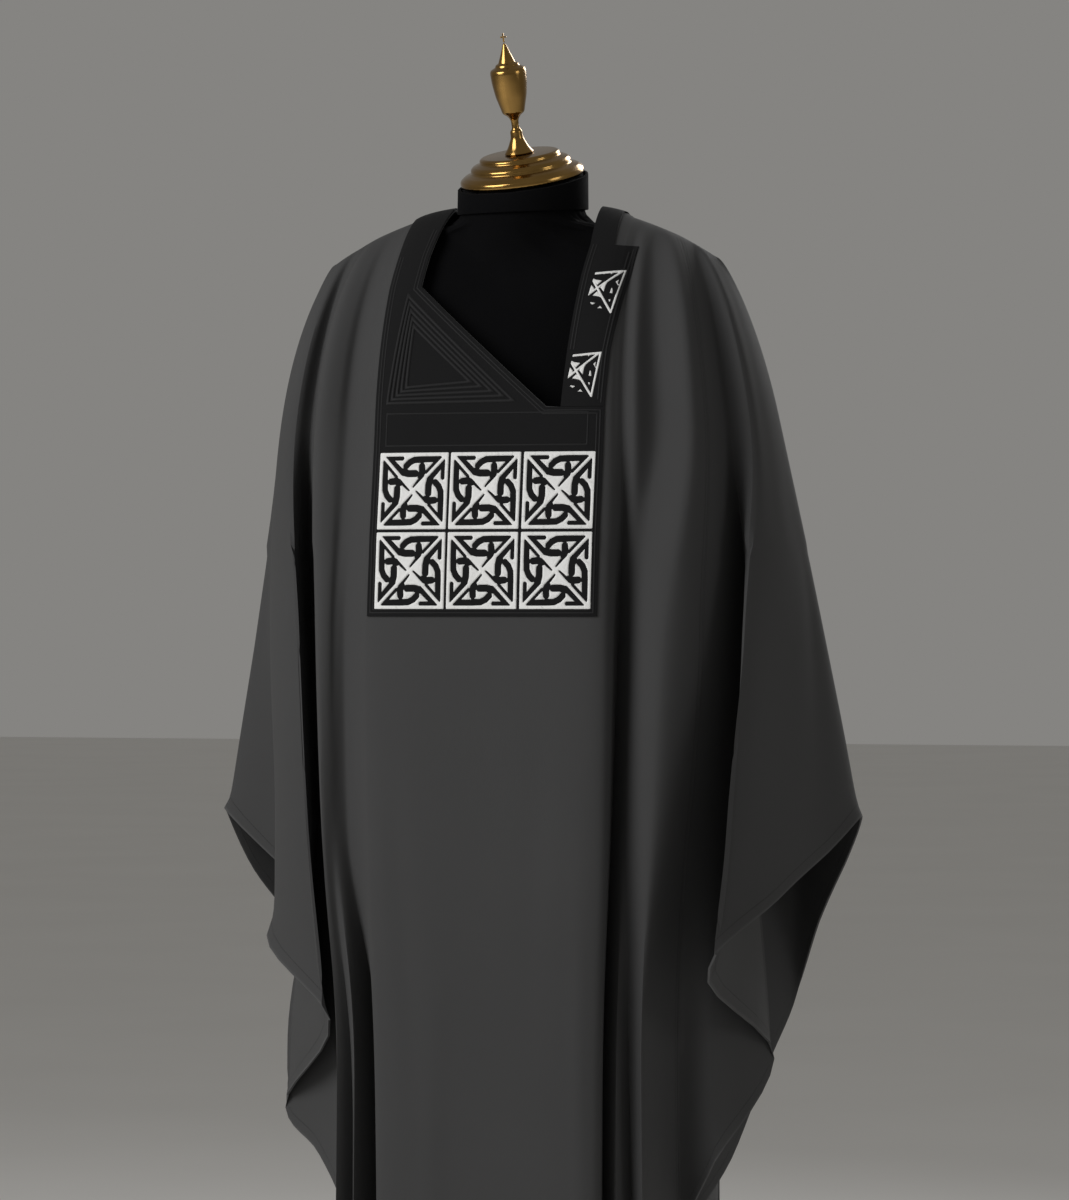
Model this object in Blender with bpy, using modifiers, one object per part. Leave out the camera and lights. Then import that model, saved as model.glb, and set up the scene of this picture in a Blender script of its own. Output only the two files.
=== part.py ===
"""Grand boubou robe hanging on a limbless dress form, at its real size in metres.

The wearer's front looks along -Y, the wearer's left is +X and up is +Z. The origin is the
centre of the stand's underside. The robe is one wide cloth drawn over the shoulders: a body
panel in front and behind and a wing on each side, whose outer edge is the open sleeve mouth.
Each vertical fold of the cloth is a row of a table, and the cloth is lofted from fold to fold.
"""
import math
from collections import namedtuple

import bmesh
import bpy
from mathutils import Matrix, Vector

OBJECT_NAME = "grand_boubou_robe"
LEFT, RIGHT = 1, -1

WALL = 0.002
TRIM_WALL = 0.0012
SEAM_GAP = 0.0003
MOST_MITRE = 0.6
NORMAL_ROUNDS = 30
NORMAL_STEP = 0.08
SHARP_ANGLE = math.radians(40)

# The shoulder line, where the cloth folds from front to back
SHOULDER_TOP = 1.506
SHOULDER_DROP = 0.056
SHOULDER_REACH = 0.190
SHOULDER_POWER = 2.3
FRONT_ROUNDNESS = 0.66
BACK_ROUNDNESS = 0.52
TIP_ROUNDNESS = 0.70
TIP_SPREAD = 0.20
TIP_FALL_BACK = -0.10
FRONT_SPREAD = 0.16
BACK_SPREAD = -0.06

# How each panel is divided: rows down the cloth, columns between one fold and the next
BODY_ROWS = 18
WING_ROWS = 15
EVEN_ROWS_FROM = 0.5
PANEL_PLACES = (0.3, 0.6, 0.85)
FOLD_PLACES = (0.2, 0.8)

HEM = 0.25

# Heights at which the tables below give each fold's distance across and forward
LEVELS = (1.30, 1.10, 0.92, 0.70, 0.44, 0.25)

Fold = namedtuple("Fold", "name start across forward cut")

LEFT_TIP = Fold("tip", 0.190, (0.245, 0.284, 0.316, 0.350, 0.370, 0.400),
                (-0.012, -0.035, -0.060, -0.080, -0.090, -0.100), 0.925)
RIGHT_TIP = Fold("tip", 0.190, (0.241, 0.282, 0.322, 0.360, 0.380, 0.410),
                 (-0.012, -0.035, -0.060, -0.080, -0.090, -0.100), 0.925)

FRONT_LEFT = [
    Fold("centre", 0.000, (0.000, 0.000, 0.000, 0.000, 0.000, 0.000),
         (0.126, 0.150, 0.154, 0.156, 0.157, 0.162), HEM),
    Fold("panel", 0.108, (0.1115, 0.1115, 0.111, 0.106, 0.104, 0.100),
         (0.120, 0.1475, 0.151, 0.153, 0.154, 0.159), HEM),
    Fold("edge", 0.112, (0.118, 0.119, 0.118, 0.112, 0.110, 0.107),
         (0.114, 0.139, 0.142, 0.143, 0.144, 0.148), HEM),
    Fold("valley", 0.116, (0.124, 0.115, 0.108, 0.099, 0.098, 0.094),
         (0.108, 0.096, 0.094, 0.092, 0.085, 0.080), HEM),
    Fold("tent", 0.123, (0.136, 0.127, 0.123, 0.121, 0.127, 0.134),
         (0.112, 0.106, 0.111, 0.126, 0.140, 0.150), HEM),
    Fold("under", 0.131, (0.150, 0.143, 0.134, 0.129, 0.131, 0.138),
         (0.092, 0.124, 0.121, 0.104, 0.095, 0.090), HEM),
    Fold("bump", 0.142, (0.187, 0.172, 0.160, 0.146, 0.148, 0.165),
         (0.104, 0.136, 0.136, 0.129, 0.128, 0.135), HEM),
    Fold("seam", 0.150, (0.197, 0.197, 0.184, 0.160, 0.160, 0.160),
         (0.085, 0.102, 0.100, 0.058, 0.045, 0.045), 0.53),
    Fold("cheek", 0.157, (0.203, 0.212, 0.203, 0.201, 0.200, 0.200),
         (0.068, 0.060, 0.050, 0.064, 0.060, 0.055), 0.61),
    Fold("deep", 0.163, (0.211, 0.222, 0.2225, 0.241, 0.245, 0.250),
         (0.050, 0.000, -0.020, -0.008, -0.005, 0.000), 0.699),
    Fold("ridge", 0.170, (0.232, 0.236, 0.231, 0.208, 0.200, 0.190),
         (0.060, 0.110, 0.158, 0.175, 0.180, 0.180), 0.7975),
    Fold("face", 0.177, (0.240, 0.262, 0.264, 0.264, 0.264, 0.264),
         (0.038, 0.045, 0.075, 0.090, 0.090, 0.090), 0.855),
    Fold("flank", 0.184, (0.2445, 0.276, 0.292, 0.300, 0.300, 0.300),
         (0.014, 0.000, 0.000, 0.000, 0.000, 0.000), 0.893),
    LEFT_TIP,
]
FRONT_RIGHT = [
    Fold("centre", 0.000, (0.000, 0.000, 0.000, 0.000, 0.000, 0.000),
         (0.126, 0.150, 0.154, 0.156, 0.157, 0.162), HEM),
    Fold("panel", 0.108, (0.1115, 0.1115, 0.108, 0.098, 0.095, 0.092),
         (0.120, 0.1475, 0.151, 0.153, 0.154, 0.159), HEM),
    Fold("edge", 0.112, (0.118, 0.119, 0.115, 0.104, 0.101, 0.099),
         (0.114, 0.141, 0.144, 0.144, 0.144, 0.148), HEM),
    Fold("valley", 0.116, (0.126, 0.137, 0.135, 0.112, 0.106, 0.100),
         (0.108, 0.128, 0.126, 0.088, 0.070, 0.060), HEM),
    Fold("tent", 0.123, (0.143, 0.145, 0.144, 0.126, 0.128, 0.138),
         (0.100, 0.131, 0.131, 0.140, 0.145, 0.150), HEM),
    Fold("under", 0.131, (0.153, 0.151, 0.150, 0.136, 0.135, 0.140),
         (0.106, 0.136, 0.137, 0.108, 0.095, 0.085), HEM),
    Fold("bump", 0.142, (0.170, 0.162, 0.157, 0.148, 0.152, 0.165),
         (0.108, 0.137, 0.141, 0.124, 0.124, 0.130), HEM),
    Fold("seam", 0.150, (0.180, 0.174, 0.167, 0.156, 0.160, 0.160),
         (0.085, 0.096, 0.090, 0.060, 0.045, 0.045), 0.53),
    Fold("cheek", 0.157, (0.187, 0.186, 0.180, 0.200, 0.205, 0.205),
         (0.068, 0.045, 0.035, 0.004, 0.000, 0.000), 0.595),
    Fold("deep", 0.163, (0.194, 0.212, 0.211, 0.246, 0.247, 0.248),
         (0.056, 0.000, -0.012, -0.025, -0.020, -0.020), 0.637),
    Fold("ridge", 0.170, (0.205, 0.192, 0.183, 0.160, 0.150, 0.140),
         (0.068, 0.100, 0.098, 0.100, 0.100, 0.100), 0.735),
    Fold("face", 0.177, (0.224, 0.242, 0.2475, 0.251, 0.252, 0.253),
         (0.046, 0.038, 0.022, 0.022, 0.020, 0.020), 0.807),
    Fold("flank", 0.184, (0.236, 0.251, 0.235, 0.228, 0.220, 0.220),
         (0.018, -0.005, -0.034, -0.040, -0.040, -0.040), 0.845),
    RIGHT_TIP,
]
BACK_LEFT = [
    Fold("centre", 0.000, (0.000, 0.000, 0.000, 0.000, 0.000, 0.000),
         (-0.118, -0.128, -0.128, -0.135, -0.140, -0.150), HEM),
    Fold("panel", 0.108, (0.085, 0.070, 0.064, 0.060, 0.058, 0.056),
         (-0.114, -0.132, -0.140, -0.155, -0.160, -0.172), HEM),
    Fold("edge", 0.112, (0.105, 0.090, 0.078, 0.072, 0.070, 0.066),
         (-0.110, -0.124, -0.128, -0.135, -0.136, -0.140), HEM),
    Fold("valley", 0.116, (0.122, 0.108, 0.094, 0.086, 0.082, 0.076),
         (-0.105, -0.108, -0.100, -0.095, -0.090, -0.085), HEM),
    Fold("tent", 0.123, (0.134, 0.132, 0.122, 0.112, 0.108, 0.106),
         (-0.102, -0.118, -0.124, -0.140, -0.148, -0.160), HEM),
    Fold("under", 0.131, (0.148, 0.150, 0.138, 0.126, 0.122, 0.120),
         (-0.096, -0.104, -0.098, -0.100, -0.098, -0.095), HEM),
    Fold("bump", 0.142, (0.170, 0.182, 0.178, 0.166, 0.166, 0.172),
         (-0.090, -0.112, -0.128, -0.128, -0.130, -0.140), HEM),
    Fold("seam", 0.150, (0.185, 0.196, 0.188, 0.178, 0.160, 0.160),
         (-0.080, -0.080, -0.060, 0.000, 0.045, 0.045), 0.53),
    Fold("cheek", 0.157, (0.196, 0.208, 0.205, 0.196, 0.190, 0.190),
         (-0.073, -0.092, -0.100, -0.060, -0.020, -0.020), 0.60),
    Fold("deep", 0.163, (0.206, 0.219, 0.216, 0.214, 0.210, 0.210),
         (-0.065, -0.100, -0.128, -0.105, -0.090, -0.090), 0.68),
    Fold("ridge", 0.170, (0.216, 0.232, 0.234, 0.232, 0.230, 0.230),
         (-0.057, -0.096, -0.140, -0.140, -0.140, -0.140), 0.738),
    Fold("face", 0.177, (0.228, 0.254, 0.262, 0.262, 0.262, 0.262),
         (-0.046, -0.080, -0.116, -0.120, -0.120, -0.120), 0.82),
    Fold("flank", 0.184, (0.238, 0.272, 0.292, 0.300, 0.300, 0.300),
         (-0.032, -0.058, -0.088, -0.090, -0.090, -0.090), 0.88),
    LEFT_TIP,
]
BACK_RIGHT = [
    Fold("centre", 0.000, (0.000, 0.000, 0.000, 0.000, 0.000, 0.000),
         (-0.118, -0.128, -0.128, -0.135, -0.140, -0.150), HEM),
    Fold("panel", 0.108, (0.078, 0.056, 0.048, 0.042, 0.040, 0.038),
         (-0.115, -0.134, -0.143, -0.158, -0.166, -0.178), HEM),
    Fold("edge", 0.112, (0.102, 0.080, 0.066, 0.058, 0.055, 0.052),
         (-0.111, -0.124, -0.128, -0.134, -0.136, -0.140), HEM),
    Fold("valley", 0.116, (0.120, 0.102, 0.086, 0.076, 0.072, 0.068),
         (-0.106, -0.112, -0.106, -0.100, -0.096, -0.092), HEM),
    Fold("tent", 0.123, (0.134, 0.126, 0.112, 0.100, 0.096, 0.094),
         (-0.102, -0.116, -0.120, -0.132, -0.140, -0.150), HEM),
    Fold("under", 0.131, (0.150, 0.150, 0.140, 0.128, 0.124, 0.122),
         (-0.096, -0.100, -0.090, -0.092, -0.092, -0.090), HEM),
    Fold("bump", 0.142, (0.170, 0.178, 0.172, 0.162, 0.164, 0.170),
         (-0.090, -0.114, -0.130, -0.134, -0.138, -0.148), HEM),
    Fold("seam", 0.150, (0.184, 0.194, 0.190, 0.178, 0.160, 0.160),
         (-0.080, -0.082, -0.066, 0.000, 0.045, 0.045), 0.53),
    Fold("cheek", 0.157, (0.195, 0.208, 0.208, 0.196, 0.190, 0.190),
         (-0.073, -0.090, -0.094, -0.058, -0.020, -0.020), 0.595),
    Fold("deep", 0.163, (0.205, 0.220, 0.222, 0.216, 0.210, 0.210),
         (-0.065, -0.100, -0.120, -0.100, -0.085, -0.085), 0.65),
    Fold("ridge", 0.170, (0.215, 0.234, 0.240, 0.236, 0.230, 0.230),
         (-0.057, -0.100, -0.134, -0.134, -0.130, -0.130), 0.735),
    Fold("face", 0.177, (0.225, 0.254, 0.268, 0.268, 0.268, 0.268),
         (-0.046, -0.084, -0.116, -0.120, -0.120, -0.120), 0.807),
    Fold("flank", 0.184, (0.235, 0.271, 0.298, 0.306, 0.306, 0.306),
         (-0.032, -0.060, -0.090, -0.095, -0.095, -0.095), 0.862),
    RIGHT_TIP,
]

CENTRE_FOLD = 0
SEAM_FOLD = [fold.name for fold in FRONT_LEFT].index("seam")
TIP_FOLD = len(FRONT_LEFT) - 1
BACK_SEAM_FOLD = 2 * TIP_FOLD - SEAM_FOLD
BACK_CENTRE_FOLD = 2 * TIP_FOLD

# Each side's folds in order from the front centre, round the wing's tip, to the back centre
RINGS = {LEFT: FRONT_LEFT + BACK_LEFT[-2::-1], RIGHT: FRONT_RIGHT + BACK_RIGHT[-2::-1]}

# The neck opening in front: its points across and up, from the right shoulder to the left one
ABOVE_ROBE = 1.530
NECK_RIGHT, NECK_LEFT = -0.067, 0.078
FRONT_NECK = ((NECK_RIGHT, ABOVE_ROBE), (NECK_RIGHT, 1.502), (-0.0710, 1.480), (-0.0747, 1.454),
              (-0.0770, 1.424), (0.0548, 1.3087), (0.0690, 1.3080), (0.0721, 1.3615),
              (0.0771, 1.4336), (0.0800, 1.4625), (NECK_LEFT, 1.500), (NECK_LEFT, ABOVE_ROBE))
BACK_NECK_DROP = 0.034
BACK_NECK_POWER = 0.8

# How far a cutter for the front or the back reaches, in depth
FRONT_CUT = (-0.30, 0.03)
BACK_CUT = (-0.03, 0.30)

# The black chest panel and the strap beside the neck opening: outlines across and up
CHEST_PANEL = ((-0.1107, 1.115), (0.1090, 1.115), (0.1095, 1.308), (0.0548, 1.308), (-0.0770, 1.424),
               (-0.0747, 1.454), (-0.0710, 1.480), (NECK_RIGHT, 1.502), (NECK_RIGHT, ABOVE_ROBE),
               (-0.1050, ABOVE_ROBE), (-0.1050, 1.500), (-0.1070, 1.454), (-0.1090, 1.424), (-0.1105, 1.308))
CHEST_STRAP = ((0.0690, 1.3083), (0.1095, 1.3083), (0.1119, 1.3615), (0.1205, 1.4336), (0.1225, 1.461),
               (0.1020, 1.462), (0.0990, 1.500), (0.0990, ABOVE_ROBE), (NECK_LEFT, ABOVE_ROBE), (NECK_LEFT, 1.500),
               (0.0800, 1.4625), (0.0771, 1.4336), (0.0721, 1.3615))
NECK_BAND_STEPS = 16
NECK_BAND_WIDTH = 0.024

# Dress form: half width and depth in front and behind, ring by ring down to its flat bottom.
# Where the width is None, it is what the cloth's shoulder line leaves room for.
FormRing = namedtuple("FormRing", "height half_width front back")
FORM_RINGS = (
    FormRing(1.476, None, 0.066, 0.072), FormRing(1.462, None, 0.070, 0.078),
    FormRing(1.446, 0.182, 0.074, 0.082), FormRing(1.420, 0.183, 0.080, 0.086),
    FormRing(1.380, 0.179, 0.088, 0.090), FormRing(1.320, 0.174, 0.098, 0.094),
    FormRing(1.240, 0.168, 0.106, 0.094), FormRing(1.150, 0.156, 0.098, 0.086),
    FormRing(1.060, 0.146, 0.084, 0.078), FormRing(0.980, 0.146, 0.080, 0.080),
    FormRing(0.900, 0.148, 0.080, 0.082), FormRing(0.860, 0.146, 0.078, 0.082),
    FormRing(0.850, 0.138, 0.070, 0.074),
)
FORM_SIDES = 36
FORM_SQUARENESS = 2.3
FORM_SPACING = 1.25
FORM_BOTTOM = FORM_RINGS[-1].height
FORM_BELOW_CLOTH = 0.0036
FORM_CREST_BELOW_CLOTH = 0.0017
FORM_INSIDE_CLOTH = 0.0085
FORM_LEAST_DEPTH = 0.0005
FOLDS_START = LEVELS[0]
HALVINGS = 30

# Neck, velvet neck band, brass cap and finial, which lean forward and a little to the right
LEAN_FORWARD = math.radians(15.5)
LEAN_RIGHT = math.radians(4.0)
NECK_RADIUS = 0.0590
VELVET_RADIUS = 0.0628
NECK_FOOT = Vector((0.0, -0.004, 1.486))
VELVET_SHARES = (1.0, 0.3)
NECK_SHARES = (1.0, 0.5, 0.0)
CAP_CENTRE = Vector((0.0, -0.004, 1.529))
CAP_PROFILE = ((0.0, 0.0262), (0.0360, 0.0262), (0.0385, 0.0245), (0.0385, 0.0215), (0.0455, 0.0190),
               (0.0480, 0.0165), (0.0480, 0.0130), (0.0545, 0.0105), (0.0590, 0.0070), (0.0595, 0.0030),
               (0.0570, 0.0), (0.0, 0.0))
FINIAL_PROFILE = ((0.0, 0.1060), (0.0015, 0.1045), (0.0045, 0.0960), (0.0075, 0.0885), (0.0080, 0.0870),
                  (0.0110, 0.0855), (0.0115, 0.0835), (0.0165, 0.0810), (0.0172, 0.0780), (0.0168, 0.0690),
                  (0.0150, 0.0560), (0.0115, 0.0430), (0.0105, 0.0390), (0.0060, 0.0360), (0.0036, 0.0320),
                  (0.0036, 0.0240), (0.0058, 0.0215), (0.0058, 0.0190), (0.0060, 0.0150), (0.0100, 0.0060),
                  (0.0150, 0.0), (0.0, 0.0))
CROSS_HEIGHT = 0.0085
CROSS_SPAN = 0.0060
CROSS_BAR = 0.0014
TURNED_STEPS = 28
FINIAL_STEPS = 20

# Stand: a pole from the form's bottom into a low round foot
POLE_RADIUS = 0.0125
POLE_SIDES = 24
FOOT_PROFILE = ((0.0, 0.030), (0.022, 0.030), (0.026, 0.026), (0.034, 0.020), (0.120, 0.014),
                (0.182, 0.010), (0.190, 0.005), (0.190, 0.0), (0.0, 0.0))
FOOT_TOP = FOOT_PROFILE[0][1]
FOOT_STEPS = 40


def clear_scene():
    """Empty the scene and make the robe's collection and the cutters' one."""
    for old in list(bpy.data.objects):
        bpy.data.objects.remove(old, do_unlink=True)
    made = []
    for name in (OBJECT_NAME, "cutters"):
        collection = bpy.data.collections.new(name)
        bpy.context.scene.collection.children.link(collection)
        made.append(collection)
    return made


def make_material(name, colour, roughness, metallic=0.0):
    """A Principled material with one colour."""
    material = bpy.data.materials.new(name)
    material.use_nodes = True
    shader = material.node_tree.nodes["Principled BSDF"]
    shader.inputs["Base Color"].default_value = (*colour, 1.0)
    shader.inputs["Roughness"].default_value = roughness
    shader.inputs["Metallic"].default_value = metallic
    return material


def add_object(name, mesh, collection, material=None):
    """Put a mesh in the collection as one named object, shaded smooth except at its edges."""
    made = bpy.data.objects.new(name, mesh)
    collection.objects.link(made)
    if material is not None:
        mesh.materials.append(material)
    mesh.shade_smooth()
    mesh.set_sharp_from_angle(angle=SHARP_ANGLE)
    return made


def mesh_of(name, bm):
    """Turn a bmesh into a mesh and free it."""
    mesh = bpy.data.meshes.new(name)
    bm.normal_update()
    bm.to_mesh(mesh)
    bm.free()
    return mesh


def shoulder_height(across):
    """Height of the shoulder line at a distance from the centre."""
    return SHOULDER_TOP - SHOULDER_DROP * (abs(across) / SHOULDER_REACH) ** SHOULDER_POWER


def bell_slopes(start, behind):
    """How fast plain cloth spreads across and forward at the first level, per metre of drop."""
    share = start / SHOULDER_REACH
    across = TIP_SPREAD * share ** 4
    centre = BACK_SPREAD if behind else FRONT_SPREAD
    return across, centre + (TIP_FALL_BACK - centre) * share ** 3


def level_slopes(values, first):
    """Slope at each of LEVELS, per metre of drop, of a curve with no overshoot below the first."""
    steps = [upper - lower for upper, lower in zip(LEVELS, LEVELS[1:])]
    rises = [(after - before) / step for before, after, step in zip(values, values[1:], steps)]
    slopes = [first]
    for before, after in zip(rises, rises[1:]):
        flat = before * after <= 0
        slopes.append(0.0 if flat else 2 * before * after / (before + after))
    return slopes + [rises[-1]]


def value_below(values, height, first):
    """A fold's distance at a height under the first level, on that smooth curve."""
    slopes = level_slopes(values, first)
    height = max(height, LEVELS[-1])
    low = next(i for i in range(1, len(LEVELS)) if height >= LEVELS[i])
    step = LEVELS[low - 1] - LEVELS[low]
    t = (LEVELS[low - 1] - height) / step
    start, end = values[low - 1], values[low]
    return ((1 + 2 * t) * (1 - t) ** 2 * start + t * (1 - t) ** 2 * step * slopes[low - 1]
            + t * t * (3 - 2 * t) * end + t * t * (t - 1) * step * slopes[low])


def value_above(values, at_shoulder, height, top, roundness, slope):
    """A fold's distance on the round of the shoulder, from the shoulder line to the first level."""
    share = min(1.0, max(0.0, (top - height) / (top - LEVELS[0])))
    turned = math.sin(0.5 * math.pi * share ** roundness)
    line = values[0] + slope * (LEVELS[0] - height)
    line_at_top = values[0] + slope * (LEVELS[0] - top)
    return line + (at_shoulder - line_at_top) * (1 - turned)


def roundness_at(place):
    """How round the shoulder is at a fold: steep in front, flat behind."""
    own = FRONT_ROUNDNESS if place <= TIP_FOLD else BACK_ROUNDNESS
    fold = place if place <= TIP_FOLD else BACK_CENTRE_FOLD - place
    share = max(0.0, (fold - SEAM_FOLD) / (TIP_FOLD - SEAM_FOLD))
    return own + (TIP_ROUNDNESS - own) * share


def fold_point(side, place, height, top):
    """Where a fold of one side passes a height: its distance across and forward."""
    mirrored = 1
    if place < CENTRE_FOLD or place > BACK_CENTRE_FOLD:
        place = -place if place < CENTRE_FOLD else 2 * BACK_CENTRE_FOLD - place
        side = -side
        mirrored = -1
    fold = RINGS[side][place]
    spread, fall = bell_slopes(fold.start, place > TIP_FOLD)
    if height < LEVELS[0]:
        across = value_below(fold.across, height, spread)
        forward = value_below(fold.forward, height, fall)
    else:
        roundness = roundness_at(place)
        across = value_above(fold.across, fold.start, height, top, roundness, spread)
        forward = value_above(fold.forward, 0.0, height, top, roundness, fall)
    return Vector((mirrored * across, forward))


def curve_between(points, t):
    """Centripetal Catmull-Rom curve from the second to the third of four points."""
    knots = [0.0]
    for before, after in zip(points, points[1:]):
        knots.append(knots[-1] + math.sqrt(max(1e-4, (after - before).length)))
    at = knots[1] + (knots[2] - knots[1]) * t
    row = list(points)
    for degree in (1, 2, 3):
        blended = []
        for i in range(len(row) - 1):
            low, high = (i, i + degree) if degree < 3 else (1, 2)
            if degree == 2:
                low, high = i, i + 2
            share = (at - knots[low]) / (knots[high] - knots[low])
            blended.append(row[i].lerp(row[i + 1], share))
        row = blended
    return row[0]


def start_at(side, place):
    """Distance from the centre at which a place of the ring leaves the shoulder line."""
    low = min(int(place), BACK_CENTRE_FOLD - 1)
    before, after = RINGS[side][low].start, RINGS[side][low + 1].start
    return before + (after - before) * (place - low)


def cut_at(side, place):
    """Height at which the wing's cloth ends at a place of the ring: the sleeve mouth's edge."""
    low = min(int(place), BACK_CENTRE_FOLD - 1)
    cuts = [RINGS[side][max(0, min(BACK_CENTRE_FOLD, low + i))].cut for i in (-1, 0, 1, 2)]
    if low == SEAM_FOLD:
        cuts[0] = 2 * cuts[1] - cuts[2]
    if low + 1 == BACK_SEAM_FOLD:
        cuts[3] = 2 * cuts[2] - cuts[1]
    t = place - low
    return 0.5 * (2 * cuts[1] + (cuts[2] - cuts[0]) * t
                  + (2 * cuts[0] - 5 * cuts[1] + 4 * cuts[2] - cuts[3]) * t * t
                  + (3 * cuts[1] - cuts[0] - 3 * cuts[2] + cuts[3]) * t ** 3)


def cloth_point(side, place, height):
    """A point of the cloth's middle surface."""
    top = shoulder_height(start_at(side, place))
    low = min(int(place), BACK_CENTRE_FOLD - 1)
    four = [fold_point(side, low + i, min(height, top), top) for i in (-1, 0, 1, 2)]
    across, forward = curve_between(four, place - low)
    return Vector((side * across, -forward, min(height, top)))


def row_share(row):
    """Share of the way down at a row: close together on the shoulder, then even."""
    share = row / BODY_ROWS
    if share < EVEN_ROWS_FROM:
        return share ** 2 / (2 * EVEN_ROWS_FROM - EVEN_ROWS_FROM ** 2)
    return (2 * share - EVEN_ROWS_FROM) / (2 - EVEN_ROWS_FROM)


def column_points(side, place, cut, last_row):
    """Points down one column of cloth, from the shoulder line to its cut edge."""
    top = shoulder_height(start_at(side, place))
    length = (top - cut) / row_share(last_row)
    return [cloth_point(side, place, top - length * row_share(row)) for row in range(last_row + 1)]


def places_between(first, last):
    """Places along the ring: each fold, and places close on both sides of it to keep its bend round."""
    places = [first]
    for low in range(first, last):
        if low == CENTRE_FOLD:
            inside = PANEL_PLACES
        elif low == BACK_CENTRE_FOLD - 1:
            inside = [1 - share for share in reversed(PANEL_PLACES)]
        else:
            inside = FOLD_PLACES
        places += [low + share for share in inside] + [low + 1]
    return places


def body_columns(first, last):
    """The columns of a front or a back, from its right seam to its left one."""
    places = places_between(first, last)
    right = [column_points(RIGHT, place, HEM, BODY_ROWS) for place in places]
    left = [column_points(LEFT, place, HEM, BODY_ROWS) for place in places]
    if first == CENTRE_FOLD:
        return right[::-1] + left[1:]
    return left + right[::-1][1:]


def wing_columns(side):
    """The columns of one wing, from its seam in front round the tip to its seam behind."""
    columns = []
    for place in places_between(SEAM_FOLD, BACK_SEAM_FOLD):
        at_seam = place in (SEAM_FOLD, BACK_SEAM_FOLD)
        top = shoulder_height(start_at(side, place))
        seam_cut = top - (top - HEM) * row_share(WING_ROWS)
        cut = seam_cut if at_seam else cut_at(side, place)
        columns.append(column_points(side, place, cut, WING_ROWS))
    return columns


def robe_surface():
    """The whole robe as one sheet: its bmesh, and the faces of each piece by name."""
    bm = bmesh.new()
    panels = {
        "robe_front": body_columns(CENTRE_FOLD, SEAM_FOLD),
        "robe_back": body_columns(BACK_SEAM_FOLD, BACK_CENTRE_FOLD),
        "wing_left": wing_columns(LEFT),
        "wing_right": wing_columns(RIGHT)[::-1],
    }
    piece = bm.faces.layers.int.new("piece")
    for number, columns in enumerate(panels.values()):
        rows = [[bm.verts.new(point) for point in column] for column in columns]
        for here, beside in zip(rows, rows[1:]):
            for i in range(len(here) - 1):
                face = bm.faces.new((here[i], here[i + 1], beside[i + 1], beside[i]))
                face[piece] = number
    bmesh.ops.remove_doubles(bm, verts=bm.verts, dist=2e-6)
    bmesh.ops.triangulate(bm, faces=bm.faces, quad_method="SHORT_EDGE")
    bm.normal_update()
    bm.verts.index_update()
    return bm, list(panels)


def seam_shift(vert, out, piece, number):
    """Half the seam's gap, from a seam into the piece that the vertex belongs to."""
    inward = Vector()
    for edge in vert.link_edges:
        owners = {face[piece] for face in edge.link_faces}
        if number not in owners or len(owners) < 2:
            continue
        own = next(face for face in edge.link_faces if face[piece] == number)
        along = (edge.verts[1].co - edge.verts[0].co).normalized()
        across = own.calc_center_median() - edge.verts[0].co
        across -= along * across.dot(along)
        inward += across.normalized()
    inward -= out * inward.dot(out)
    return inward.normalized() * (0.5 * SEAM_GAP) if inward.length > 1e-6 else inward


def way_out(vert):
    """The way out of the cloth that every face round a point sees best."""
    out = vert.normal.copy()
    for _ in range(NORMAL_ROUNDS):
        least = min(vert.link_faces, key=lambda face: out.dot(face.normal))
        out = (out + least.normal * NORMAL_STEP).normalized()
    return out


def mitre(vert, out):
    """How much longer the offset is at a sharp bend, so that the wall keeps its thickness."""
    facing = sum(out.dot(face.normal) for face in vert.link_faces) / len(vert.link_faces)
    return 1 / max(facing, MOST_MITRE)


def wall_piece(bm, number, name, wall, lift=0.0):
    """One piece of the sheet as a closed wall, its edges square to the cloth, lifted outwards."""
    piece = bm.faces.layers.int["piece"]
    faces = [face for face in bm.faces if face[piece] == number]
    made = bmesh.new()
    outer, inner = {}, {}
    for vert in {vert for face in faces for vert in face.verts}:
        out = way_out(vert)
        place = vert.co + seam_shift(vert, out, piece, number)
        out *= mitre(vert, out)
        outer[vert] = made.verts.new(place + out * (lift + wall / 2))
        inner[vert] = made.verts.new(place + out * (lift - wall / 2))
    for face in faces:
        made.faces.new([outer[vert] for vert in face.verts])
        made.faces.new([inner[vert] for vert in reversed(face.verts)])
        for loop in face.loops:
            others = [other for other in loop.edge.link_faces if other[piece] == number]
            if len(others) == 1:
                a, b = loop.vert, loop.link_loop_next.vert
                first, last = (a, b) if a.index < b.index else (b, a)
                made.faces.new((outer[b], outer[a], inner[last]))
                made.faces.new((inner[a], inner[b], outer[first]))
    return mesh_of(name, made)


def sweep(bm, face, distance):
    """Sweep a face along +Y into a closed solid facing out."""
    swept = bmesh.ops.extrude_face_region(bm, geom=[face])["geom"]
    moved = [item for item in swept if isinstance(item, bmesh.types.BMVert)]
    bmesh.ops.translate(bm, verts=moved, vec=(0, distance, 0))
    bmesh.ops.recalc_face_normals(bm, faces=bm.faces)


def prism(name, outline, depths, collection):
    """A cutter: an outline across and up, swept from one depth to another."""
    near, far = depths
    bm = bmesh.new()
    face = bm.faces.new([bm.verts.new((across, near, up)) for across, up in outline])
    sweep(bm, face, far - near)
    cutter = add_object(name, mesh_of(name, bm), collection)
    cutter.hide_render = True
    cutter.display_type = "WIRE"
    return cutter


def cut_with(target, cutter, operation="DIFFERENCE"):
    """Take the cutter's volume out of the target, or keep only what lies in it."""
    modifier = target.modifiers.new("cut", "BOOLEAN")
    modifier.operation = operation
    modifier.object = cutter


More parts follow.
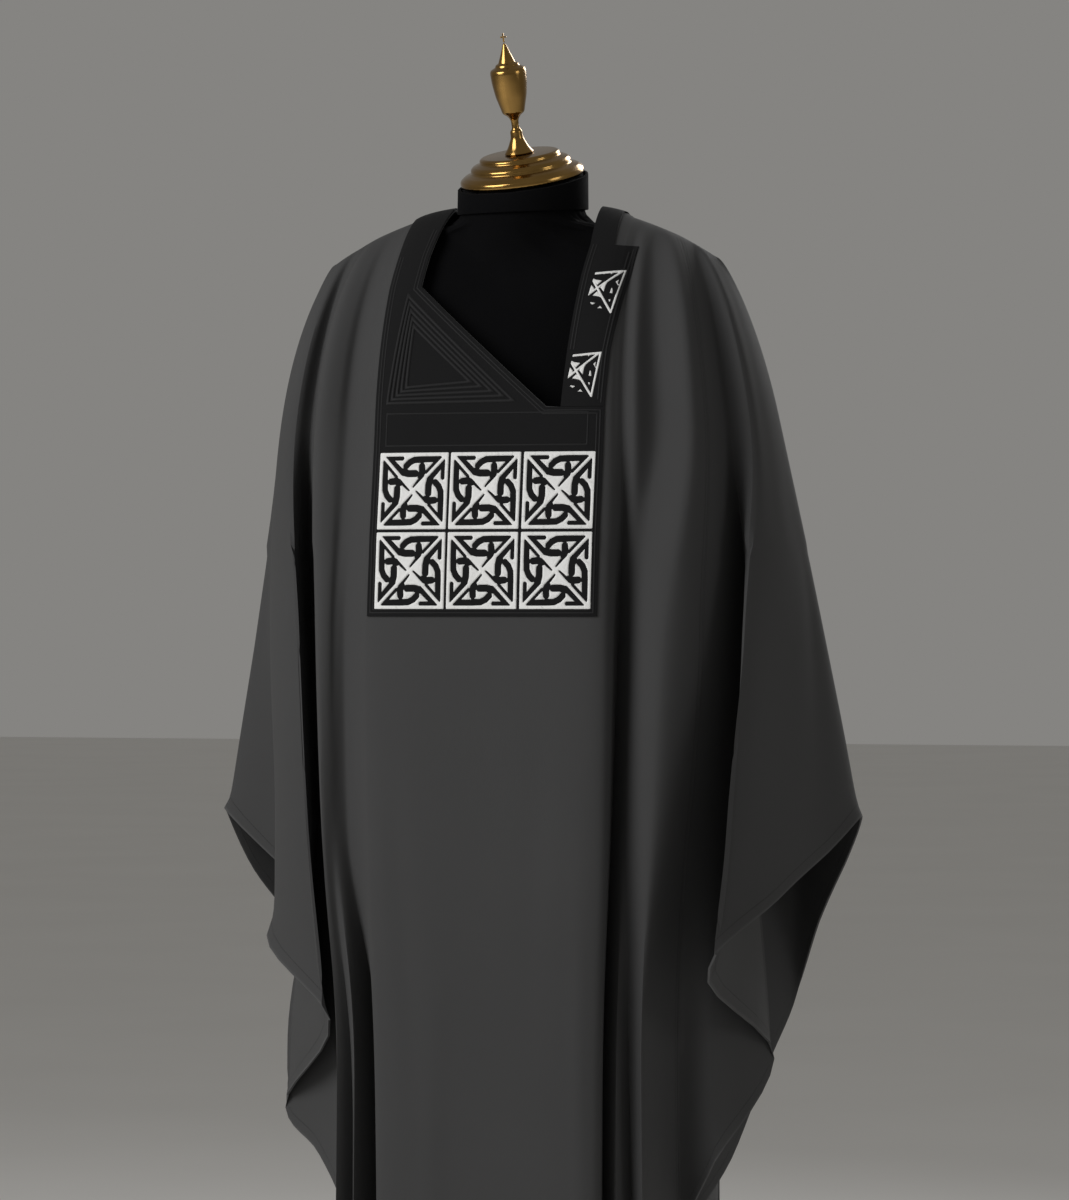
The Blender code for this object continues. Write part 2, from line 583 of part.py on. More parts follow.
def back_neck_point(t, widened):
    """A point across and up of the back neck's edge, t from 0 to 1, or of a wider curve round it."""
    centre = 0.5 * (NECK_LEFT + NECK_RIGHT)
    reach = 0.5 * (NECK_LEFT - NECK_RIGHT) + widened
    across = centre - reach * math.cos(math.pi * t)
    drop = (BACK_NECK_DROP + widened) * math.sin(math.pi * t) ** BACK_NECK_POWER
    return across, shoulder_height(across) - drop


def cloth_depth(across, height, behind):
    """Distance of the cloth from the shoulder line's plane at a distance across and a height."""
    side = LEFT if across >= 0 else RIGHT
    low, high = 0.0, float(TIP_FOLD)
    for _ in range(HALVINGS):
        middle = 0.5 * (low + high)
        place = BACK_CENTRE_FOLD - middle if behind else middle
        if abs(cloth_point(side, place, height).x) < abs(across):
            low = middle
        else:
            high = middle
    place = BACK_CENTRE_FOLD - low if behind else low
    return abs(cloth_point(side, place, height).y)


def close_wall(bm, grid):
    """Faces on both sides and round the rim of a grid of outer and inner points."""
    rims = {}
    for lower, upper in zip(grid, grid[1:]):
        for i in range(min(len(lower), len(upper)) - 1):
            cell = (lower[i], lower[i + 1], upper[i + 1], upper[i])
            bm.faces.new([corner[0] for corner in cell])
            bm.faces.new([corner[1] for corner in reversed(cell)])
            for a, b in zip(cell, cell[1:] + cell[:1]):
                key = frozenset((a[0], b[0]))
                if key in rims:
                    rims[key] = None
                else:
                    rims[key] = (a, b)
    for pair in rims.values():
        if pair is not None:
            a, b = pair
            bm.faces.new((b[0], a[0], a[1], b[1]))
    bmesh.ops.recalc_face_normals(bm, faces=bm.faces)


def loft(name, rings):
    """A closed solid through rings of equal count, the first on top, with flat ends."""
    bm = bmesh.new()
    lines = [[bm.verts.new(point) for point in ring] for ring in rings]
    for upper, lower in zip(lines, lines[1:]):
        for i in range(len(upper)):
            j = (i + 1) % len(upper)
            bm.faces.new((upper[i], lower[i], lower[j], upper[j]))
    bm.faces.new(lines[0])
    bm.faces.new(lines[-1][::-1])
    bmesh.ops.recalc_face_normals(bm, faces=bm.faces)
    return mesh_of(name, bm)


def lean():
    """Turn of the cap and finial: forward, and a little to the wearer's right."""
    return Matrix.Rotation(-LEAN_RIGHT, 4, "Y") @ Matrix.Rotation(LEAN_FORWARD, 4, "X")


def shoulder_reach(height):
    """Distance from the centre at which the shoulder line passes a height."""
    share = max(0.0, (SHOULDER_TOP - height) / SHOULDER_DROP)
    return SHOULDER_REACH * share ** (1 / SHOULDER_POWER)


def form_depth(across, height, behind, depth):
    """Depth of the torso at a distance from the centre, kept inside the cloth and round the neck."""
    neck = math.sqrt(max(0.0, NECK_RADIUS ** 2 - across ** 2)) + NECK_FOOT.y * (1 if behind else -1)
    if height < FOLDS_START:
        return depth
    cloth = cloth_depth(across, height + FORM_BELOW_CLOTH, behind) - FORM_INSIDE_CLOTH
    return max(neck, min(depth, max(cloth, FORM_LEAST_DEPTH)))


def form_ring(row):
    """Points round the torso at one height, closer together round the neck."""
    half_width = row.half_width or shoulder_reach(row.height + FORM_BELOW_CLOTH)
    crest = row.half_width or shoulder_reach(row.height + FORM_CREST_BELOW_CLOTH)
    ring = []
    for i in range(FORM_SIDES):
        angle = 2 * math.pi * i / FORM_SIDES
        c, s = math.cos(angle), math.sin(angle)
        share = abs(c) ** FORM_SPACING
        depth = row.back if s > 0 else row.front
        if abs(s) < 1e-9:
            ring.append((math.copysign(crest, c), 0.0, row.height))
            continue
        across = half_width * math.copysign(share, c)
        depth *= (1 - share ** FORM_SQUARENESS) ** (1 / FORM_SQUARENESS)
        depth = form_depth(across, row.height, s > 0, depth)
        ring.append((across, math.copysign(depth, s), row.height))
    return ring


def neck_ring(share, radius, drop):
    """A ring of the neck, from the torso's top to the plane of the brass cap."""
    turn = lean()
    ring = []
    for i in range(FORM_SIDES):
        angle = 2 * math.pi * i / FORM_SIDES
        flat = Vector((radius * math.cos(angle), radius * math.sin(angle), 0.0))
        top = CAP_CENTRE + turn @ (flat - Vector((0, 0, drop)))
        ring.append((NECK_FOOT + flat).lerp(top, share))
    return ring


def form_body(collection, material):
    """The limbless torso and its neck, smooth, with a flat bottom for the pole."""
    neck = [neck_ring(share, NECK_RADIUS, SEAM_GAP) for share in NECK_SHARES]
    rings = neck + [form_ring(row) for row in FORM_RINGS]
    return add_object("form_body", loft("form_body", rings), collection, material)


def velvet_band(collection, material):
    """The velvet band round the neck under the cap."""
    bm = bmesh.new()
    grid = []
    for share in VELVET_SHARES:
        outside = neck_ring(share, VELVET_RADIUS, 2 * SEAM_GAP)
        inside = neck_ring(share, NECK_RADIUS + 2 * SEAM_GAP, 2 * SEAM_GAP)
        pairs = [(bm.verts.new(far), bm.verts.new(near)) for far, near in zip(outside, inside)]
        grid.append(pairs + pairs[:1])
    close_wall(bm, grid)
    return add_object("velvet_band", mesh_of("velvet_band", bm), collection, material)


def turned(name, profile, steps, collection, material, placing):
    """A turned piece: its profile at +X from top to bottom, with a Screw modifier."""
    bm = bmesh.new()
    verts = [bm.verts.new((radius, 0.0, up)) for radius, up in profile]
    for a, b in zip(verts, verts[1:]):
        bm.edges.new((a, b))
    made = add_object(name, mesh_of(name, bm), collection, material)
    screw = made.modifiers.new("turn", "SCREW")
    screw.steps = steps
    screw.render_steps = steps
    screw.use_merge_vertices = True
    screw.merge_threshold = 1e-5
    screw.use_smooth_shade = True
    made.matrix_world = placing
    return made


def cap_and_finial(collection, brass):
    """The stepped brass cap, the urn standing on it and the small cross on its point."""
    placing = Matrix.Translation(CAP_CENTRE) @ lean()
    turned("neck_cap", CAP_PROFILE, TURNED_STEPS, collection, brass, placing)
    urn_foot = CAP_PROFILE[0][1] + SEAM_GAP
    turned("finial", FINIAL_PROFILE, FINIAL_STEPS, collection, brass,
           placing @ Matrix.Translation((0, 0, urn_foot)))
    foot = urn_foot + FINIAL_PROFILE[0][1] + SEAM_GAP
    bm = bmesh.new()
    half = CROSS_BAR / 2
    arm_low, arm_high = CROSS_HEIGHT * 0.5, CROSS_HEIGHT * 0.5 + CROSS_BAR
    reach = CROSS_SPAN / 2
    outline = ((-half, 0), (half, 0), (half, arm_low), (reach, arm_low), (reach, arm_high), (half, arm_high),
               (half, CROSS_HEIGHT), (-half, CROSS_HEIGHT), (-half, arm_high), (-reach, arm_high),
               (-reach, arm_low), (-half, arm_low))
    face = bm.faces.new([bm.verts.new((x, -half, z)) for x, z in outline])
    sweep(bm, face, CROSS_BAR)
    cross = add_object("finial_cross", mesh_of("finial_cross", bm), collection, brass)
    cross.matrix_world = placing @ Matrix.Translation((0, 0, foot))


def stand(collection, brass, black):
    """The pole under the form and the low round foot on the floor."""
    length = FORM_BOTTOM - FOOT_TOP - 2 * SEAM_GAP
    bpy.ops.mesh.primitive_cylinder_add(vertices=POLE_SIDES, radius=POLE_RADIUS, depth=length,
                                        location=(0, 0, FOOT_TOP + SEAM_GAP + length / 2))
    pole = bpy.context.object
    pole.name = "stand_pole"
    pole.data.materials.append(brass)
    pole.data.shade_smooth()
    pole.data.set_sharp_from_angle(angle=SHARP_ANGLE)
    for other in list(pole.users_collection):
        other.objects.unlink(pole)
    collection.objects.link(pole)
    turned("stand_foot", FOOT_PROFILE, FOOT_STEPS, collection, black, Matrix.Identity(4))


def robe(collection, cutters, cloth, trim):
    """The four cloth panels with the neck cut out, and the black trims on them."""
    bm, names = robe_surface()
    made = {}
    for number, name in enumerate(names):
        made[name] = add_object(name, wall_piece(bm, number, name, WALL), collection, cloth)
    steps = [i / NECK_BAND_STEPS for i in range(NECK_BAND_STEPS + 1)]
    neck = [back_neck_point(t, 0.0) for t in steps]
    band = [back_neck_point(t, NECK_BAND_WIDTH) for t in reversed(steps)]
    back_neck = [(NECK_RIGHT, ABOVE_ROBE)] + neck + [(NECK_LEFT, ABOVE_ROBE)]
    wider = [(NECK_LEFT + NECK_BAND_WIDTH, ABOVE_ROBE)] + band + [(NECK_RIGHT - NECK_BAND_WIDTH, ABOVE_ROBE)]
    cut_with(made["robe_front"], prism("cut_neck_front", FRONT_NECK, FRONT_CUT, cutters))
    cut_with(made["robe_back"], prism("cut_neck_back", back_neck, BACK_CUT, cutters))
    lift = (WALL + TRIM_WALL) / 2 + SEAM_GAP
    trims = (("chest_panel", "robe_front", CHEST_PANEL, FRONT_CUT),
             ("chest_strap", "robe_front", CHEST_STRAP, FRONT_CUT),
             ("neck_band", "robe_back", back_neck + wider, BACK_CUT))
    for name, under, outline, depths in trims:
        sheet = wall_piece(bm, names.index(under), name, TRIM_WALL, lift)
        kept = add_object(name, sheet, collection, trim)
        cut_with(kept, prism(f"shape_{name}", outline, depths, cutters), "INTERSECT")
    bm.free()


def build():
    collection, cutters = clear_scene()
    cloth = make_material("charcoal_cloth", (0.050, 0.050, 0.052), 0.85)
    trim = make_material("black_trim", (0.012, 0.012, 0.013), 0.80)
    velvet = make_material("black_velvet", (0.006, 0.006, 0.007), 0.95)
    brass = make_material("polished_brass", (0.72, 0.48, 0.20), 0.25, 1.0)
    black = make_material("black_enamel", (0.015, 0.015, 0.016), 0.45)
    robe(collection, cutters, cloth, trim)
    form_body(collection, velvet)
    velvet_band(collection, velvet)
    cap_and_finial(collection, brass)
    stand(collection, brass, black)


build()
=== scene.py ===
import math
from collections import namedtuple

import bmesh
import bpy
from mathutils import Matrix, Vector
from mathutils.bvhtree import BVHTree


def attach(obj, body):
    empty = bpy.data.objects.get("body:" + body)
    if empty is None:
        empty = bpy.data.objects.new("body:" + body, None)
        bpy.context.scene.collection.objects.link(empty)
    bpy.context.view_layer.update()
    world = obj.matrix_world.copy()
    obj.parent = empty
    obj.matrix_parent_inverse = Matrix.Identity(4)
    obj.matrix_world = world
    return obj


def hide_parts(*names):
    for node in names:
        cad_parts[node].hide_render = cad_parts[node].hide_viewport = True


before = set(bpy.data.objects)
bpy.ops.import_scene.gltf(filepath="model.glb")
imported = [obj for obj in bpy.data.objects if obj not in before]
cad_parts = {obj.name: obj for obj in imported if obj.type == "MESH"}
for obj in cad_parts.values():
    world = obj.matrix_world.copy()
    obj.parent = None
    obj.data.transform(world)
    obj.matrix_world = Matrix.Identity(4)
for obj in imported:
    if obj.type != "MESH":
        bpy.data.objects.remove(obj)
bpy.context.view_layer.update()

# ---------------------------------------------------------------------------------------------
# Camera, floor and light: a long lens at chest height, a quarter step to the wearer's left, a
# plain pale studio floor, one large soft light high on the wearer's right and two weak ones.

CAMERA_TURN = math.radians(15)
CAMERA_DISTANCE = 4.2
CAMERA_ASIDE = 0.010
CAMERA_HEIGHT = 1.13
camera = bpy.data.objects.new("camera", bpy.data.cameras.new("camera"))
bpy.context.collection.objects.link(camera)
camera.data.lens = 132.3
camera.data.sensor_width = 36.0
camera.data.clip_end = 100.0
camera.location = (CAMERA_DISTANCE * math.sin(CAMERA_TURN) + CAMERA_ASIDE * math.cos(CAMERA_TURN),
                   -CAMERA_DISTANCE * math.cos(CAMERA_TURN) + CAMERA_ASIDE * math.sin(CAMERA_TURN),
                   CAMERA_HEIGHT)
camera.rotation_euler = (math.radians(90), 0, CAMERA_TURN)
bpy.context.scene.camera = camera


class Wire:
    """One output of a material's node. Sums written with it add Math nodes."""

    def __init__(self, finish, socket):
        self.finish, self.socket = finish, socket

    def math(self, operation, *others, clamped=False):
        settings = {"operation": operation, "use_clamp": clamped}
        return self.finish.node("Math", settings, dict(enumerate((self, *others))))

    def __add__(self, other):
        return self.math("ADD", other)

    def __sub__(self, other):
        return self.math("SUBTRACT", other)

    def __rsub__(self, other):
        return (self * -1.0) + other

    def __mul__(self, other):
        return self.math("MULTIPLY", other)

    __radd__, __rmul__ = __add__, __mul__

    def wave(self, length):
        """A wave from 0 to 1, one for each length."""
        return (self * (2 * math.pi / length)).math("SINE") * 0.5 + 0.5

    def band(self, middle, half_width, soft):
        """1 within half a width of a value, falling to 0 over a soft edge."""
        away = (self - middle).math("ABSOLUTE")
        return ((half_width + soft) - away).math("DIVIDE", soft, clamped=True)


class Finish:
    """A material, with one method that makes each of its nodes."""

    def __init__(self, name, **fixed):
        self.material = bpy.data.materials.new(name)
        self.material.use_nodes = True
        self.tree = self.material.node_tree
        self.shader = self.tree.nodes["Principled BSDF"]
        for label, value in fixed.items():
            self.shader.inputs[label.replace("_", " ").title().replace("Ior", "IOR")].default_value = value

    def node(self, kind, settings=(), inputs=(), output=0):
        made = self.tree.nodes.new("ShaderNode" + kind)
        for label, value in dict(settings).items():
            setattr(made, label, value)
        for label, value in dict(inputs).items():
            self.put(made.inputs[label], value)
        return Wire(self, made.outputs[output])

    def put(self, socket, value):
        if isinstance(value, Wire):
            self.tree.links.new(value.socket, socket)
        else:
            socket.default_value = value

    def blend(self, share, first, second):
        """From the first colour to the second."""
        first, second = (c if isinstance(c, Wire) else (*c, 1.0) for c in (first, second))
        return self.node("Mix", {"data_type": "RGBA"}, {0: share, 6: first, 7: second}, output=2)

    def place(self):
        """Position in metres, in the frame of the whole object."""
        return self.node("TexCoord", output="Object")

    def noise(self, scale, detail=3.0, at=None):
        """Cloudy noise from 0 to 1, with so many lumps in a metre."""
        where = at or self.place()
        return self.node("TexNoise", {}, {"Vector": where, "Scale": scale, "Detail": detail}, output="Fac")

    def dress(self, colour=None, roughness=None, relief=None, depth=0.0):
        """Connect what varies over the surface; the relief is in shares of its depth in metres."""
        if colour:
            self.put(self.shader.inputs["Base Color"], colour)
        if roughness:
            self.put(self.shader.inputs["Roughness"], roughness)
        if relief:
            bump = self.node("Bump", {}, {"Height": relief, "Distance": depth, "Strength": 1.0})
            self.put(self.shader.inputs["Normal"], bump)
        return self.material


def add_piece(name, mesh, material, smooth_to=40):
    """A mesh as one object of the scene, smooth except where it bends more than some degrees."""
    made = bpy.data.objects.new(name, mesh)
    bpy.context.collection.objects.link(made)
    mesh.materials.clear()
    mesh.materials.append(material)
    mesh.shade_smooth()
    mesh.set_sharp_from_angle(angle=math.radians(smooth_to))
    return made


def mesh_from(bm, name):
    mesh = bpy.data.meshes.new(name)
    bm.normal_update()
    bm.to_mesh(mesh)
    bm.free()
    return mesh


floor_paint = Finish("studio_floor")
patches = floor_paint.noise(1.3)
floor_paint.dress(floor_paint.blend(patches, (0.74, 0.73, 0.71), (0.80, 0.79, 0.77)), patches * 0.1 + 0.8,
                  floor_paint.noise(220), 0.0002)
FLOOR_REACH = 30.0
floor_shape = bmesh.new()
bmesh.ops.create_grid(floor_shape, x_segments=8, y_segments=8, size=FLOOR_REACH)
floor = add_piece("studio_floor", mesh_from(floor_shape, "studio_floor"), floor_paint.material)

world = bpy.data.worlds.new("studio")
bpy.context.scene.world = world
world.use_nodes = True
world.node_tree.nodes["Background"].inputs["Color"].default_value = (0.235, 0.230, 0.220, 1.0)
world.node_tree.nodes["Background"].inputs["Strength"].default_value = 1.0
bpy.context.scene.view_settings.view_transform = "Standard"


def soft_light(name, place, aim, size, power):
    light = bpy.data.objects.new(name, bpy.data.lights.new(name, "AREA"))
    bpy.context.collection.objects.link(light)
    light.data.shape = "DISK"
    light.data.size = size
    light.data.energy = power
    light.location = place
    light.rotation_euler = (Vector(aim) - Vector(place)).to_track_quat("-Z", "Y").to_euler()


soft_light("key", (-2.2, -2.7, 2.7), (0, 0, 1.2), 2.6, 120)
soft_light("side", (3.0, -0.8, 2.0), (0, 0, 1.2), 1.2, 9)
soft_light("behind", (0.8, 2.8, 2.8), (0, 0, 1.2), 1.6, 50)

# ---------------------------------------------------------------------------------------------
# The stand's round foot and its pole: a heavy cast foot, turned and coated in satin black, and
# a brass tube that is screwed into it and into the dress form's bottom.

def rounded(profile, radius):
    """The profile of a turned piece with each of its corners rounded."""
    out = [Vector(profile[0])]
    for before, corner, after in zip(profile, profile[1:], profile[2:]):
        corner = Vector(corner)
        back, forth = Vector(before) - corner, Vector(after) - corner
        cut = min(radius, back.length * 0.45, forth.length * 0.45)
        start, end = corner + back.normalized() * cut, corner + forth.normalized() * cut
        for i in range(4):
            t = i / 3
            out.append(start.lerp(corner, t).lerp(corner.lerp(end, t), t))
    return out + [Vector(profile[-1])]


def turned(name, profile, radius, steps, placing, material):
    """A piece turned on a lathe, from its profile at one side, top to bottom."""
    bm = bmesh.new()
    rings = []
    for across, up in rounded(profile, radius):
        if across < 1e-6:
            rings.append([bm.verts.new((0, 0, up))] * steps)
            continue
        angles = (2 * math.pi * i / steps for i in range(steps))
        rings.append([bm.verts.new((across * math.cos(a), across * math.sin(a), up)) for a in angles])
    for upper, lower in zip(rings, rings[1:]):
        for i in range(steps):
            j = (i + 1) % steps
            corners = dict.fromkeys((upper[i], lower[i], lower[j], upper[j]))
            if len(corners) > 2:
                bm.faces.new(corners)
    bmesh.ops.recalc_face_normals(bm, faces=bm.faces)
    bm.transform(placing)
    return add_piece(name, mesh_from(bm, name), material)


FOOT_PROFILE = ((0.0, 0.030), (0.022, 0.030), (0.026, 0.026), (0.034, 0.020), (0.120, 0.014),
                (0.182, 0.010), (0.190, 0.005), (0.190, 0.0), (0.0, 0.0))
POLE_RADIUS, POLE_LOW, POLE_HIGH = 0.0125, 0.0303, 0.8497
POLE_PROFILE = ((0.0, POLE_HIGH), (POLE_RADIUS, POLE_HIGH), (POLE_RADIUS, POLE_LOW), (0.0, POLE_LOW))

enamel = Finish("black_enamel", coat_weight=0.35, coat_roughness=0.2)
peel = enamel.noise(420, 2.0)
dust = enamel.noise(9, 5.0)
enamel.dress(enamel.blend(dust, (0.012, 0.012, 0.013), (0.020, 0.020, 0.020)),
             dust * 0.22 + 0.34, peel, 0.00015)
foot = turned("weighted_foot", FOOT_PROFILE, 0.003, 96, Matrix.Identity(4), enamel.material)

brass = Finish("polished_brass", metallic=1.0)
tarnish = brass.noise(34, 5.0)
smears = brass.noise(11, 4.0)
lathe_marks = brass.node("SeparateXYZ", {}, {0: brass.place()}, output="Z").wave(0.0009)
brass.dress(brass.blend(tarnish, (0.39, 0.232, 0.072), (0.22, 0.128, 0.036)), smears * 0.16 + 0.09,
            lathe_marks * 0.5 + tarnish * 0.5, 0.00004)
pole = turned("brass_pole", POLE_PROFILE, 0.001, 64, Matrix.Identity(4), brass.material)
for piece, node, finish in ((foot, "stand_foot", "black_enamel"), (pole, "stand_pole", "polished_brass")):
    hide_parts(node)
    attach(piece, "root")

# ---------------------------------------------------------------------------------------------
# The dress form: a smooth limbless torso with its neck, of moulded fibre under stretched black
# velvet, and a separate velvet band sewn round the neck just under the brass cap.

velvet = Finish("black_velvet", sheen_weight=0.10, sheen_roughness=0.30, sheen_tint=(0.20, 0.20, 0.21, 1.0),
                specular_ior_level=0.05)
pile = velvet.noise(1500, 2.0)
brushed = velvet.noise(16, 4.0)
velvet.dress(velvet.blend(brushed, (0.0012, 0.0012, 0.0014), (0.0035, 0.0035, 0.0040)),
             brushed * 0.1 + 0.86, pile, 0.0004)


def smoothed_copy(node, name, material, levels, bevel=0.0):
    """A finer copy of a solid of the frame, its rims softly rounded."""
    copy = add_piece(name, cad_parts[node].data.copy(), material)
    weld = copy.modifiers.new("weld", "WELD")
    weld.merge_threshold = 0.00001
    if bevel:
        round_off = copy.modifiers.new("round", "BEVEL")
        round_off.width, round_off.segments, round_off.limit_method = bevel, 3, "ANGLE"
    if levels:
        finer = copy.modifiers.new("finer", "SUBSURF")
        finer.levels = finer.render_levels = levels
    return applied(copy)


def applied(piece):
    """The piece with its modifiers made part of its mesh."""
    graph = bpy.context.evaluated_depsgraph_get()
    mesh = bpy.data.meshes.new_from_object(piece.evaluated_get(graph))
    piece.modifiers.clear()
    piece.data = mesh
    mesh.shade_smooth()
    mesh.set_sharp_from_angle(angle=math.radians(40))
    return piece


torso = smoothed_copy("form_body", "velvet_torso", velvet.material, 2)
band = smoothed_copy("velvet_band", "velvet_neck_band", velvet.material, 0, 0.0009)
for piece, node in ((torso, "form_body"), (band, "velvet_band")):
    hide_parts(node)
    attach(piece, "root")

# ---------------------------------------------------------------------------------------------
# The neck cap, the urn on it and the small cross on its point: turned and polished brass. They
# are screwed together and lean forward, and a little to the wearer's right, with the neck.

CAP_PROFILE = ((0.0, 0.0262), (0.0360, 0.0262), (0.0385, 0.0245), (0.0385, 0.0215), (0.0455, 0.0190),
               (0.0480, 0.0165), (0.0480, 0.0130), (0.0545, 0.0105), (0.0590, 0.0070), (0.0595, 0.0030),
               (0.0570, 0.0), (0.0, 0.0))
FINIAL_PROFILE = ((0.0, 0.1060), (0.0015, 0.1045), (0.0045, 0.0960), (0.0075, 0.0885), (0.0080, 0.0870),
                  (0.0110, 0.0855), (0.0115, 0.0835), (0.0165, 0.0810), (0.0172, 0.0780), (0.0168, 0.0690),
                  (0.0150, 0.0560), (0.0115, 0.0430), (0.0105, 0.0390), (0.0060, 0.0360), (0.0036, 0.0320),
                  (0.0036, 0.0240), (0.0058, 0.0215), (0.0058, 0.0190), (0.0060, 0.0150), (0.0100, 0.0060),
                  (0.0150, 0.0), (0.0, 0.0))
CAP_CENTRE = Vector((0.0, -0.004, 1.529))
LEANING = Matrix.Rotation(-math.radians(4.0), 4, "Y") @ Matrix.Rotation(math.radians(15.5), 4, "X")
SCREWED_GAP = 0.0003
on_neck = Matrix.Translation(CAP_CENTRE) @ LEANING
urn_foot = CAP_PROFILE[0][1] + SCREWED_GAP
on_cap = on_neck @ Matrix.Translation((0, 0, urn_foot))
cap = turned("brass_cap", CAP_PROFILE, 0.0012, 120, on_neck, brass.material)
urn = turned("brass_urn", FINIAL_PROFILE, 0.0030, 72, on_cap, brass.material)
cross = smoothed_copy("finial_cross", "brass_cross", brass.material, 0, 0.00025)
for piece, node in ((cap, "neck_cap"), (urn, "finial"), (cross, "finial_cross")):
    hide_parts(node)
    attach(piece, "root")

# ---------------------------------------------------------------------------------------------
# The robe's cloth: a front, a back and a wing for each arm, of charcoal cotton twill, sewn edge
# to edge down the sides and hemmed. Each row of a table is one hanging fold; the cloth is drawn
# from fold to fold, softened, and the listed soft creases run over it.

WALL = 0.002
TRIM_WALL = 0.0012
SEAM_GAP = 0.0003
LEFT, RIGHT = 1, -1
SHOULDER_TOP, SHOULDER_DROP, SHOULDER_REACH, SHOULDER_POWER = 1.506, 0.056, 0.190, 2.3
FRONT_ROUNDNESS, BACK_ROUNDNESS, TIP_ROUNDNESS = 0.66, 0.52, 0.70
TIP_SPREAD, TIP_FALL_BACK, FRONT_SPREAD, BACK_SPREAD = 0.20, -0.10, 0.16, -0.06
BODY_ROWS, WING_ROWS = 90, 75
EVEN_ROWS_FROM = 0.5
PANEL_STEPS, FOLD_STEPS = 16, 6
HEM = 0.25
LEVELS = (1.30, 1.10, 0.92, 0.70, 0.44, 0.25)
Fold = namedtuple("Fold", "start across forward cut")

# The folds of each side and face, from the middle outwards, all in millimetres: where each leaves
# the shoulder line, and its distances across and forward at each level. A last number is the
# height at which the sleeve's mouth cuts it; the others reach the hem.
FOLD_STARTS = {"centre": 0, "panel": 108, "edge": 112, "valley": 116, "tent": 123, "under": 131, "bump": 142,
               "seam": 150, "cheek": 157, "deep": 163, "ridge": 170, "face": 177, "flank": 184, "tip": 190}
LEFT_TIP = ((245, 284, 316, 350, 370, 400), (-12, -35, -60, -80, -90, -100), 925)
RIGHT_TIP = ((241, 282, 322, 360, 380, 410), (-12, -35, -60, -80, -90, -100), 925)
FRONT_LEFT = {
    "centre": ((0, 0, 0, 0, 0, 0), (126, 150, 154, 156, 157, 162)),
    "panel": ((111.5, 111.5, 111, 106, 104, 100), (120, 147.5, 151, 153, 154, 159)),
    "edge": ((118, 119, 118, 112, 110, 107), (114, 139, 142, 143, 144, 148)),
    "valley": ((124, 115, 108, 99, 98, 94), (108, 96, 94, 92, 85, 80)),
    "tent": ((136, 127, 123, 121, 127, 134), (112, 106, 111, 126, 140, 150)),
    "under": ((150, 143, 134, 129, 131, 138), (92, 124, 121, 104, 95, 90)),
    "bump": ((187, 172, 160, 146, 148, 165), (104, 136, 136, 129, 128, 135)),
    "seam": ((197, 197, 184, 160, 160, 160), (85, 102, 100, 58, 45, 45), 530),
    "cheek": ((203, 212, 203, 201, 200, 200), (68, 60, 50, 64, 60, 55), 610),
    "deep": ((211, 222, 222.5, 241, 245, 250), (50, 0, -20, -8, -5, 0), 699),
    "ridge": ((232, 236, 231, 208, 200, 190), (60, 110, 158, 175, 180, 180), 797.5),
    "face": ((240, 262, 264, 264, 264, 264), (38, 45, 75, 90, 90, 90), 855),
    "flank": ((244.5, 276, 292, 300, 300, 300), (14, 0, 0, 0, 0, 0), 893),
    "tip": LEFT_TIP,
}
FRONT_RIGHT = {
    "centre": ((0, 0, 0, 0, 0, 0), (126, 150, 154, 156, 157, 162)),
    "panel": ((111.5, 111.5, 108, 98, 95, 92), (120, 147.5, 151, 153, 154, 159)),
    "edge": ((118, 119, 115, 104, 101, 99), (114, 141, 144, 144, 144, 148)),
    "valley": ((126, 137, 135, 112, 106, 100), (108, 128, 126, 88, 70, 60)),
    "tent": ((143, 145, 144, 126, 128, 138), (100, 131, 131, 140, 145, 150)),
    "under": ((153, 151, 150, 136, 135, 140), (106, 136, 137, 108, 95, 85)),
    "bump": ((170, 162, 157, 148, 152, 165), (108, 137, 141, 124, 124, 130)),
    "seam": ((180, 174, 167, 156, 160, 160), (85, 96, 90, 60, 45, 45), 530),
    "cheek": ((187, 186, 180, 200, 205, 205), (68, 45, 35, 4, 0, 0), 595),
    "deep": ((194, 212, 211, 246, 247, 248), (56, 0, -12, -25, -20, -20), 637),
    "ridge": ((205, 192, 183, 160, 150, 140), (68, 100, 98, 100, 100, 100), 735),
    "face": ((224, 242, 247.5, 251, 252, 253), (46, 38, 22, 22, 20, 20), 807),
    "flank": ((236, 251, 235, 228, 220, 220), (18, -5, -34, -40, -40, -40), 845),
    "tip": RIGHT_TIP,
}
BACK_LEFT = {
    "centre": ((0, 0, 0, 0, 0, 0), (-118, -128, -128, -135, -140, -150)),
    "panel": ((85, 70, 64, 60, 58, 56), (-114, -132, -140, -155, -160, -172)),
    "edge": ((105, 90, 78, 72, 70, 66), (-110, -124, -128, -135, -136, -140)),
    "valley": ((122, 108, 94, 86, 82, 76), (-105, -108, -100, -95, -90, -85)),
    "tent": ((134, 132, 122, 112, 108, 106), (-102, -118, -124, -140, -148, -160)),
    "under": ((148, 150, 138, 126, 122, 120), (-96, -104, -98, -100, -98, -95)),
    "bump": ((170, 182, 178, 166, 166, 172), (-90, -112, -128, -128, -130, -140)),
    "seam": ((185, 196, 188, 178, 160, 160), (-80, -80, -60, 0, 45, 45), 530),
    "cheek": ((196, 208, 205, 196, 190, 190), (-73, -92, -100, -60, -20, -20), 600),
    "deep": ((206, 219, 216, 214, 210, 210), (-65, -100, -128, -105, -90, -90), 680),
    "ridge": ((216, 232, 234, 232, 230, 230), (-57, -96, -140, -140, -140, -140), 738),
    "face": ((228, 254, 262, 262, 262, 262), (-46, -80, -116, -120, -120, -120), 820),
    "flank": ((238, 272, 292, 300, 300, 300), (-32, -58, -88, -90, -90, -90), 880),
    "tip": LEFT_TIP,
}
